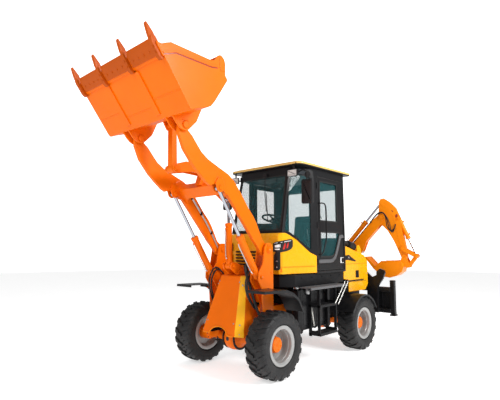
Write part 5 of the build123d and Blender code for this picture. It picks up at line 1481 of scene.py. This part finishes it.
for s, nm in ((1, "left"), (-1, "right")):
    sh = Shape()
    y0, y1 = sorted((s * 0.484, s * 0.656))
    pr = round_poly([(y0, 2.640), (y1, 2.640), (y1, 2.745), (y0, 2.745)], 0.014, 4)
    stack(sh, [[W(x, y, z) for y, z in inset_poly(pr, d)] for d, x in ((0.018, -0.5915), (0.004, -0.578), (0.0, -0.572), (0.0, -0.556), (0.002, -0.552), (0.008, -0.552), (0.010, -0.557))])
    sh.box(-0.592, -0.584, *sorted((s * 0.560, s * 0.590)), 2.735, 2.8125, 0.002)
    sh.bolt(W(-0.584, s * 0.575, 2.775), (1, 0, 0), 0.007)
    sh.done(nm + "_work_lamp_body", "rear_chassis", "plastic", ("work_lamps",))
    sh = Shape()
    pr = inset_poly(pr, 0.010)
    stack(sh, [[W(x, y, z) for y, z in inset_poly(pr, d)] for d, x in ((0.0, -0.560), (0.0, -0.5550), (0.004, -0.5530), (0.020, -0.5512))])
    for k in range(7):
        y = y0 + 0.022 + k * (y1 - y0 - 0.044) / 6
        sh.box(-0.5530, -0.5500, y - 0.003, y + 0.003, 2.656, 2.729, 0.001)
    sh.done(nm + "_work_lamp_lens", "rear_chassis", "lamp")
# small marker lamps at the front corners of the roof
sh = Shape()
for s in (1, -1):
    sh.box(-0.583, -0.5805, *sorted((s * 0.610, s * 0.630)), 2.822, 2.842, 0.001, 1)
sh.done("roof_markers", "rear_chassis", "plastic")

# ================================================================== engine cover
soften("engine_cover", "yellow", 0.012, 4, 20, holes=True)
for s, nm in ((1, "left"), (-1, "right")):
    def at(u, v, n, s=s):
        return W(u, s * (0.600 + n), v)
    sh = Shape()
    y0, y1 = sorted((s * 0.598, s * 0.6025))
    sh.box(-2.395, -2.300, y0, y1, 1.130, 1.240, 0.002)
    sh.done(nm + "_vent_back", "rear_chassis", "matte")
    sh = Shape()
    for k in range(6):
        z = 1.136 + k * 0.018
        sh.prism([(s * 0.600, z), (s * 0.6065, z - 0.004), (s * 0.6065, z), (s * 0.600, z + 0.006)], -2.392, -2.303, F(), 0.0)
    frame_strip(sh, round_poly([(-2.400, 1.124), (-2.294, 1.124), (-2.294, 1.246), (-2.400, 1.246)], 0.01, 3), 0.008, 0.005, at)
    sh.done(nm + "_vent_slats", "rear_chassis", "plastic")
    # panel gaps: dark beads over the shut lines
    sh = Shape()
    for x0, x1, z0, z1 in ((-2.735, -1.902, 1.3585, 1.3625), (-2.700, -2.062, 1.0585, 1.0625)):
        sh.box(x0, x1, *sorted((s * 0.5985, s * 0.6008)), z0, z1, 0.0)
    sh.done(nm + "_shut_lines", "rear_chassis", "matte")
    # shelf lip at the join with the lower panel
    sh = Shape()
    sh.box(-2.560, -1.905, *sorted((s * 0.598, s * 0.612)), 1.072, 1.092, 0.004)
    sh.done(nm + "_cover_lip", "rear_chassis", "frame")
    # side latch with its dark recess
    sh = Shape()
    sh.prism([(-2.300, 1.395), (-2.030, 1.428), (-1.955, 1.425), (-1.945, 1.455), (-1.955, 1.500), (-2.080, 1.508), (-2.150, 1.470), (-2.300, 1.412)], *sorted((s * 0.599, s * 0.610)), S(), 0.003)
    sh.rod(W(-1.985, s * 0.606, 1.465), W(-1.985, s * 0.622, 1.465), 0.022, 20)
    sh.done(nm + "_cover_latch", "rear_chassis", "plastic")
    sh = Shape()
    sh.rod(W(-2.060, s * 0.608, 1.468), W(-2.060, s * 0.616, 1.468), 0.016, 20)
    sh.done(nm + "_latch_lock", "rear_chassis", "steel")
    sh = Shape()
    for x, z in ((-2.68, 1.18), (-2.68, 1.30), (-1.95, 1.16), (-1.95, 1.30), (-2.62, 0.95), (-2.12, 0.95), (-2.55, 1.46)):
        sh.bolt(at(x, z, 0.0), (0, s, 0), 0.008)
    sh.done(nm + "_cover_bolts", "rear_chassis", "zinc")
# rear grille and lamps
sh = Shape()
sh.box(-2.7395, -2.736, -0.360, 0.360, 1.020, 1.360, 0.001)
sh.done("rear_grille_back", "rear_chassis", "matte")
sh = Shape()
for k in range(12):
    z = 1.034 + k * 0.0265
    sh.box(-2.747, -2.737, -0.355, 0.355, z, z + 0.010, 0.002)
for y in (-0.36, -0.12, 0.12, 0.36):
    sh.box(-2.7485, -2.737, y - 0.008, y + 0.008, 1.016, 1.364, 0.002)
sh.done("rear_grille_bars", "rear_chassis", "plastic")
for s, nm in ((1, "left"), (-1, "right")):
    sh = Shape()
    sh.box(-2.752, -2.736, s * 0.500 - 0.045, s * 0.500 + 0.045, 1.150, 1.300, 0.006, 3)
    sh.done(nm + "_tail_lamp", "rear_chassis", "red")
# lug on the rear hatch
sh = Shape()
for s in (1, -1):
    sh.prism([(-2.500, 1.500), (-2.440, 1.532), (-2.440, 1.640), (-2.470, 1.672), (-2.520, 1.672), (-2.560, 1.630), (-2.620, 1.492)], *sorted((s * 0.545, s * 0.560)), S(), 0.003)
    sh.rod(W(-2.490, s * 0.540, 1.630), W(-2.490, s * 0.566, 1.630), 0.016, 20)
sh.done("hatch_lugs", "rear_chassis", "yellow")

# air cleaner and exhaust
sh = Shape()
for p, q, r in ((W(-2.100, 0.060, 1.716), W(-2.100, 0.440, 1.716), 0.078), (W(-2.260, 0.470, 1.682), W(-2.470, 0.470, 1.636), 0.075)):
    d = (q - p).normalized()
    L = (q - p).length
    sh.lathe([(0, 0), (0, r * 0.55), (0.004, r * 0.62), (0.010, r * 0.90), (0.022, r * 0.985), (0.040, r), (0.044, r - 0.003), (0.050, r - 0.003), (0.054, r), (L * 0.6, r), (L * 0.6 + 0.004, r + 0.0),
              (L * 0.6 + 0.006, r - 0.003), (L * 0.6 + 0.014, r - 0.003), (L * 0.6 + 0.018, r), (L - 0.024, r * 0.99), (L - 0.010, r * 0.93), (L - 0.002, r * 0.70), (L, r * 0.45), (L, 0)], p, d, 48, closed=False)
    sh.rod(q - d * 0.002, q + d * 0.0, r * 0.3, 20)
sh.done("air_cleaner_canisters", "rear_chassis", "plastic", ("air_cleaner",))
sh = Shape()
sh.box(-2.130, -2.070, 0.220, 0.280, 1.628, 1.672, 0.004)
sh.prism([(-2.380, 1.562), (-2.300, 1.581), (-2.300, 1.640), (-2.380, 1.620)], 0.440, 0.500, S(), 0.004)
sh.done("air_cleaner_feet", "rear_chassis", "frame")
tube("air_hose", "rear_chassis", "hose", [[W(-2.100, 0.440, 1.716), W(-2.100, 0.500, 1.716), W(-2.150, 0.515, 1.712), W(-2.220, 0.470, 1.694), W(-2.262, 0.470, 1.683)],
                                         [W(-2.100, 0.060, 1.716), W(-2.100, 0.010, 1.716), W(-2.110, -0.030, 1.700), W(-2.115, -0.040, 1.620)]], 0.034, 12)
sh = Shape()
p = W(-2.250, -0.300, 1.590)
sh.lathe([(0, 0.034), (0.0, 0.060), (0.012, 0.062), (0.020, 0.058), (0.200, 0.058), (0.212, 0.050), (0.222, 0.034), (0.330, 0.033), (0.370, 0.034), (0.370, 0.030), (0.330, 0.029), (0.222, 0.029)], p, (0, 0, 1), 40)
sh.done("exhaust_pipe", "rear_chassis", "iron")

# ================================================================== backhoe frame
soften("slide_frame", "black", 0.004, holes=True)
soften("left_stabiliser", "black", 0.003)
soften("right_stabiliser", "black", 0.003)
soften("backhoe_carriage", "black", 0.004)
sh = Shape()
for s in (1, -1):
    y0, y1 = sorted((s * 0.921, s * 0.989))
    # cap, stiffeners and bolts on the leg housings
    sh.box(-2.9915, -2.9125, *sorted((s * 0.9155, s * 0.9945)), 1.034, 1.058, 0.004)
    sh.box(-2.9915, -2.9125, *sorted((s * 0.9155, s * 0.9945)), 0.492, 0.512, 0.004)
    for z in (0.620, 0.760, 0.900):
        sh.box(-2.9925, -2.9885, y0, y1, z, z + 0.012, 0.001)
        sh.bolt(W(-2.952, s * 0.9925, z + 0.05), (0, s, 0), 0.009, head=0.005)
    # pressed ribs of the end panels
    for y in (0.705, 0.755, 0.805, 0.855, 0.897):
        sh.box(-2.9605, -2.9480, *sorted((s * (y - 0.010), s * (y + 0.010))), 0.575, 0.855, 0.004)
    sh.box(-2.9605, -2.9500, *sorted((s * 0.685, s * 0.915)), 0.848, 0.862, 0.002)
    sh.box(-2.9605, -2.9500, *sorted((s * 0.685, s * 0.915)), 0.568, 0.582, 0.002)
sh.done("leg_housing_trim", "rear_chassis", "black")
for s, nm in ((1, "left"), (-1, "right")):
    sh = Shape()
    c = s * 0.955
    sh.box(-3.008, -2.896, c - 0.048, c + 0.048, 0.4545, 0.466, 0.004)
    sh.box(-2.990, -2.982, c - 0.040, c + 0.040, 0.4820, 0.4870, 0.001)
    sh.box(-2.922, -2.914, c - 0.040, c + 0.040, 0.4820, 0.4870, 0.001)
    sh.done(nm + "_foot_plate", nm + "_stabiliser_leg", "black")
# bright running faces of the side-shift rails
sh = Shape()
sh.box(-2.9925, -2.989, -0.910, 0.910, 0.866, 0.872, 0.0)
sh.box(-2.9925, -2.989, -0.910, 0.910, 0.928, 0.934, 0.0)
sh.done("slide_rails", "rear_chassis", "steel")

sh = Shape()
yc = -0.414
for z0 in (0.900, 0.600):
    sh.lathe([(0, 0.034), (0, 0.062), (0.006, 0.066), (0.008, 0.034)], D(0, z0 - 0.0075 if z0 == 0.9 else z0 - 0.044), (0, 0, 1), 32)
for y in (-0.16, 0.16):
    for z in (0.52, 0.67, 0.80, 0.93):
        sh.bolt(W(-3.040, yc + y, z), (-1, 0, 0), 0.013)
sh.rod(D(0, 0.905), D(0, 0.930), 0.040, 24)
sh.done("carriage_bolts", "carriage", "black")

# ================================================================== digging arm
for n in ("swing_post", "backhoe_boom", "backhoe_dipper", "bucket_lever", "bucket_drive_link", "backhoe_bucket"):
    soften(n, "amber", 0.003, holes=n in ("backhoe_boom", "swing_post"))
for n in ("boom_cylinder_barrel", "dipper_cylinder_barrel", "bucket_cylinder_barrel"):
    soften(n, "amber", 0.0025)
for n in ("boom_cylinder_rod", "dipper_cylinder_rod", "bucket_cylinder_rod"):
    dress(n, "chrome")
cyl_dress("boomcyl", (0.1655, 0.915), (0.630, 1.560), 0.046, 0.440, G(), 0.0, "boom_barrel", "boom_rod", 0.022, ports=1.0)
cyl_dress("dipcyl", (0.297, 1.608), (1.063, 2.500), 0.044, 0.690, G(), 0.0, "dipper_barrel", "dipper_rod", 0.020, ports=-1.0)
cyl_dress("bktcyl", (1.360, 2.170), (1.645, 1.480), 0.036, 0.410, G(), 0.0, "bucket_barrel", "bucket_rod", 0.017, ports=-1.0)


def pin_caps(name, body, mat, items):
    sh = Shape()
    for (r, z), w, rad in items:
        for sg in (1, -1):
            sh.rod(D(r, z, sg * w), D(r, z, sg * (w + 0.009)), rad, 28)
            sh.rod(D(r, z, sg * (w + 0.008)), D(r, z, sg * (w + 0.014)), 0.006, 10)
    return sh.done(name, body, mat)


pin_caps("swing_pin_caps", "swing", "amber", [((0.080, 1.150), 0.126, 0.038), ((0.1655, 0.915), 0.122, 0.028)])
pin_caps("boom_pin_caps", "boom", "amber", [((1.060, 2.210), 0.094, 0.040), ((0.297, 1.608), 0.088, 0.028)])
pin_caps("dipper_pin_caps", "dipper", "amber", [((1.440, 1.458), 0.090, 0.036), ((1.410, 1.610), 0.090, 0.030), ((1.360, 2.170), 0.068, 0.028)])
sh = Shape()
for sg in (1, -1):
    for c, r in (((1.060, 2.210), 0.074),):
        sh.lathe([(0, 0.030), (0, r), (0.007, r), (0.009, r - 0.004), (0.009, 0.030)], D(c[0], c[1], sg * 0.0775), N_DIR * sg, 40)
    # stiffener plates along the boom
    sh.prism([(0.200, 1.262), (0.235, 1.225), (0.945, 2.000), (0.912, 2.035)], sg * 0.076 if sg > 0 else -0.081, sg * 0.081 if sg > 0 else -0.076, G(), 0.002)
sh.done("boom_bosses", "boom", "amber")
sh = Shape()
for sg in (1, -1):
    sh.prism([(1.060, 2.470), (1.190, 2.395), (1.290, 2.240), (1.345, 2.000), (1.385, 1.700), (1.360, 1.700), (1.315, 1.985), (1.255, 2.210), (1.165, 2.360), (1.040, 2.440)],
             *sorted((sg * 0.0565, sg * 0.0615)), G(), 0.002)
    sh.lathe([(0, 0.030), (0, 0.066), (0.005, 0.068), (0.007, 0.030)], D(1.410, 1.610, sg * 0.057), N_DIR * sg, 32)
sh.done("dipper_stiffeners", "dipper", "amber")
sh = Shape()
for sg in (1, -1):
    for pts in ([(1.300, 2.215), (1.325, 2.250), (1.352, 2.240), (1.345, 2.196), (1.318, 2.180)], [(1.226, 2.300), (1.250, 2.330), (1.276, 2.305), (1.262, 2.268)]):
        sh.prism(pts, *sorted((sg * 0.0575, sg * 0.0600)), G(), 0.0)
sh.done("dipper_slot_shadows", "dipper", "darkred")

# digging bucket: tooth caps, lip and side cutters
sh = Shape()
for w in (-0.150, -0.050, 0.050, 0.150):
    sh.prism([(0.905, 1.232), (0.925, 1.225), (0.940, 1.290), (0.780, 1.462), (0.750, 1.462), (0.744, 1.448)], w - 0.027, w + 0.027, G(), 0.004)
    sh.bolt(D(0.948, 1.205, w), (R_DIR.x * -0.7, R_DIR.y * -0.7, -0.7), 0.010, head=0.005)
for sg in (1, -1):
    sh.prism([(0.895, 1.262), (0.935, 1.235), (1.080, 1.362), (1.060, 1.392), (0.930, 1.278)], *sorted((sg * 0.190, sg * 0.1965)), G(), 0.002)
    sh.prism([(1.060, 1.386), (1.065, 1.366), (1.235, 1.372), (1.385, 1.388), (1.375, 1.402), (1.230, 1.393)], *sorted((sg * 0.190, sg * 0.1965)), G(), 0.002)
    sh.prism([(1.100, 1.150), (1.110, 1.128), (1.310, 1.160), (1.395, 1.225), (1.380, 1.245), (1.295, 1.185)], *sorted((sg * 0.189, sg * 0.1935)), G(), 0.001)
sh.done("digging_bucket_wear_parts", "digging_bucket", "amber")

# ================================================================== hoses
loops = []
for i, (w, a) in enumerate(((0.090, 0.0), (0.099, 0.02), (0.108, 0.04))):
    loops.append([D(0.860, 2.118, w), D(0.930, 2.205 + a * 0.3, w + 0.004), D(1.010, 2.272 + a * 0.4, w + 0.010), D(1.097, 2.282 + a * 0.4, w + 0.014), D(1.142 + a * 0.6, 2.205, w + 0.016),
                  D(1.150 + a * 1.8, 2.060, w + 0.014), D(1.180 + a * 1.2, 1.965 - a, w + 0.008), D(1.240 + a * 0.6, 1.940 - a * 0.8, w - 0.004), D(1.292, 1.985 - a * 0.4, w - 0.016),
                  D(1.312, 2.062, w - 0.026)])
tube("elbow_hoses", None, "hose", loops, 0.0078, 10, blend=("boom", "dipper", D(0.960, 2.15), D(1.170, 2.12)))
sh = Shape()
for w in (0.090, 0.098, 0.106):
    sh.box(-0.018, 0.018, -0.012, 0.012, -0.012, 0.012, 0.003, place=lambda x, y, z, w=w: D(0.860 + x, 2.118 + y, w + z * 0.6))
sh.done("boom_hose_clamp", "boom", "frame")
runs = []
for w in (0.084, 0.096):
    runs.append([D(0.110, 1.260, w), D(0.260, 1.430, w), D(0.480, 1.690, w), D(0.700, 1.940, w), D(0.860, 2.118, w)])
tube("boom_pipes", "boom", "hose", runs, 0.0065, 8, smooth=False)
hoses = []
for i, w in enumerate((-0.05, -0.02, 0.01, 0.04)):
    hoses.append([W(-2.900, -0.300 + w, 0.960), W(-2.960, -0.310 + w, 1.060), W(-3.040, -0.350 + w, 1.090), D(0.000, 1.060 + 0.01 * i, w + 0.02)])
tube("carriage_hoses", "carriage", "hose", [[W(-3.020, -0.300 + w, 0.960), W(-3.015, -0.300 + w, 1.030), W(-3.060, -0.330 + w, 1.075), W(-3.120, -0.360 + w, 1.060), D(-0.02, 1.02, w)] for w in (-0.045, -0.015, 0.015)], 0.010, 10)

# loader hoses: from the frame up to the lift cylinders and tilt cylinder
runs = []
for s in (1, -1):
    runs.append([W(-0.060, s * 0.330, 1.270), W(0.010, s * 0.345, 1.360), W(0.120, s * 0.352, 1.330), W(0.200, s * 0.345, 1.160), W(0.140, s * 0.352, 0.960), W(0.040, s * 0.385, 0.830)])
    runs.append([W(-0.080, s * 0.330, 1.250), W(-0.010, s * 0.340, 1.330), W(0.090, s * 0.346, 1.300), W(0.160, s * 0.340, 1.140), W(0.110, s * 0.346, 0.950), W(0.010, s * 0.385, 0.820)])
tube("tower_hoses", "front_chassis", "hose", runs, 0.011, 10)
runs = []
for k, (y0, z0) in enumerate(((0.045, 1.29), (0.0, 1.31), (-0.045, 1.29))):
    runs.append([W(-0.150, y0, 1.285), W(-0.205, y0, 1.270), W(-0.250, y0 * 1.2, 1.170), W(-0.245, y0 * 1.4, 1.00), W(-0.240, y0 * 1.4, 0.86)])
tube("frame_hoses", "front_chassis", "hose", runs, 0.011, 10)
# black sleeve beside the nose
tube("nose_sleeve", "front_chassis", "hose", [[W(-0.020, 0.205, 1.290), W(0.045, 0.215, 1.420), W(0.085, 0.250, 1.330), W(0.075, 0.330, 1.120), W(0.065, 0.385, 0.960), W(0.050, 0.425, 0.840), W(0.020, 0.440, 0.760)]], 0.019, 12)
# articulation hoses
tube("articulation_hoses", None, "hose",
     [[W(-0.900, y, 0.830), W(-0.980, y + 0.01, 0.850), W(-1.080, y + 0.02, 0.870), W(-1.200, y + 0.01, 0.868), W(-1.285, y, 0.860)] for y in (-0.100, -0.062, 0.050, 0.088)],
     0.011, 10, blend=("front_chassis", "rear_chassis", W(-0.960, 0, 0.85), W(-1.240, 0, 0.85)))
sh = Shape()
sh.box(-0.915, -0.890, -0.118, 0.118, 0.782, 0.850, 0.004)
sh.done("hose_bulkhead", "front_chassis", "frame")
# points for feed hoses at the lift rams' foot; no hose is drawn from them
for s, nm in ((1, "left"), (-1, "right")):
    runs = [[W(0.020, s * 0.485, 1.190), W(0.060, s * 0.492, 1.210), W(0.110, s * 0.480, 1.300), W(0.150, s * 0.452, 1.352)]]
# ================================================================== stage
def plane(name, pts, mat):
    me = bpy.data.meshes.new(name)
    me.from_pydata(pts, [], [list(range(len(pts)))])
    o = bpy.data.objects.new(name, me)
    bpy.context.scene.collection.objects.link(o)
    me.materials.append(mat)
    o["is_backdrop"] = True
    return o


fm, fnt, fb = _nodes("floor_paper")
n1 = _noise(fnt, 1.2, 3, 0.5)
fnt.links.new(_mix(fnt, n1, (0.93, 0.93, 0.93), (0.96, 0.96, 0.96)), fb.inputs["Base Color"])
fb.inputs["Roughness"].default_value = 0.7
fnt.links.new(_mix(fnt, n1, (0.95, 0.95, 0.95), (1.0, 1.0, 1.0)), fb.inputs["Emission Color"])
fb.inputs["Emission Strength"].default_value = 0.58
_bump(fnt, fb, [(_noise(fnt, 90.0, 3, 0.5), 0.02, 0.001)])
plane("floor", [(-30, -30, 0), (30, -30, 0), (30, 30, 0), (-30, 30, 0)], fm)

scene = bpy.context.scene
w = bpy.data.worlds.new("studio")
scene.world = w
w.use_nodes = True
w.node_tree.nodes["Background"].inputs[0].default_value = (1.0, 1.0, 1.0, 1.0)
w.node_tree.nodes["Background"].inputs[1].default_value = 0.38
scene.view_settings.view_transform = "Standard"


def area(name, loc, target, size, power, color=(1, 1, 1)):
    li = bpy.data.lights.new(name, "AREA")
    li.energy = power
    li.size = size
    li.color = color
    o = bpy.data.objects.new(name, li)
    bpy.context.scene.collection.objects.link(o)
    o.location = loc
    o.rotation_euler = (Vector(target) - Vector(loc)).to_track_quat("-Z", "Y").to_euler()
    o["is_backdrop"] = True
    return o


mid = W(-0.6, 0, 1.3)
area("key", W(-1.5, 8.0, 6.0), mid, 3.0, 700)
area("rim", W(-7.0, -2.0, 5.0), mid, 4.0, 120)
area("fill", W(7.5, 1.5, 6.5), W(0.2, 0, 1.0), 3.0, 260)
bm_, bnt, bb = _nodes("backdrop_paper")
bnt.links.new(_mix(bnt, _noise(bnt, 1.0, 2, 0.5), (0.98, 0.98, 0.98), (1.0, 1.0, 1.0)), bb.inputs["Emission Color"])
bnt.links.new(_mix(bnt, _noise(bnt, 1.0, 2, 0.5), (0.90, 0.90, 0.90), (0.92, 0.92, 0.92)), bb.inputs["Base Color"])
bb.inputs["Emission Strength"].default_value = 1.0
bb.inputs["Roughness"].default_value = 0.9
dome = Shape()
dome.lathe([(-0.5, 27.0), (12.0, 27.0), (20.0, 20.0), (26.0, 0.0)], (0, 0, 0), (0, 0, 1), 64, closed=False)
dm = dome.mesh("backdrop")
dm.materials.append(bm_)
dome = bpy.data.objects.new("backdrop", dm)
bpy.context.scene.collection.objects.link(dome)
for _f in ("visible_diffuse", "visible_glossy", "visible_transmission", "visible_volume_scatter", "visible_shadow"):
    setattr(dome, _f, False)
dome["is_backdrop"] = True

cam = bpy.data.cameras.new("camera")
cam.lens = 30.03
cam.sensor_width = 36
cam.sensor_fit = "HORIZONTAL"
cam.clip_end = 200
co = bpy.data.objects.new("camera", cam)
scene.collection.objects.link(co)
fw = Vector((-0.73743, -0.66573, 0.11398)).normalized()
rt = Vector((-0.67010, 0.74227, 0.0)).normalized()
up = rt.cross(fw).normalized()
mat = Matrix((rt, up, -fw)).transposed().to_4x4()
mat.translation = W(4.2184, 4.0696, 1.6248)
co.matrix_world = mat
scene.camera = co
co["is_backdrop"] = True

lo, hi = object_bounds()
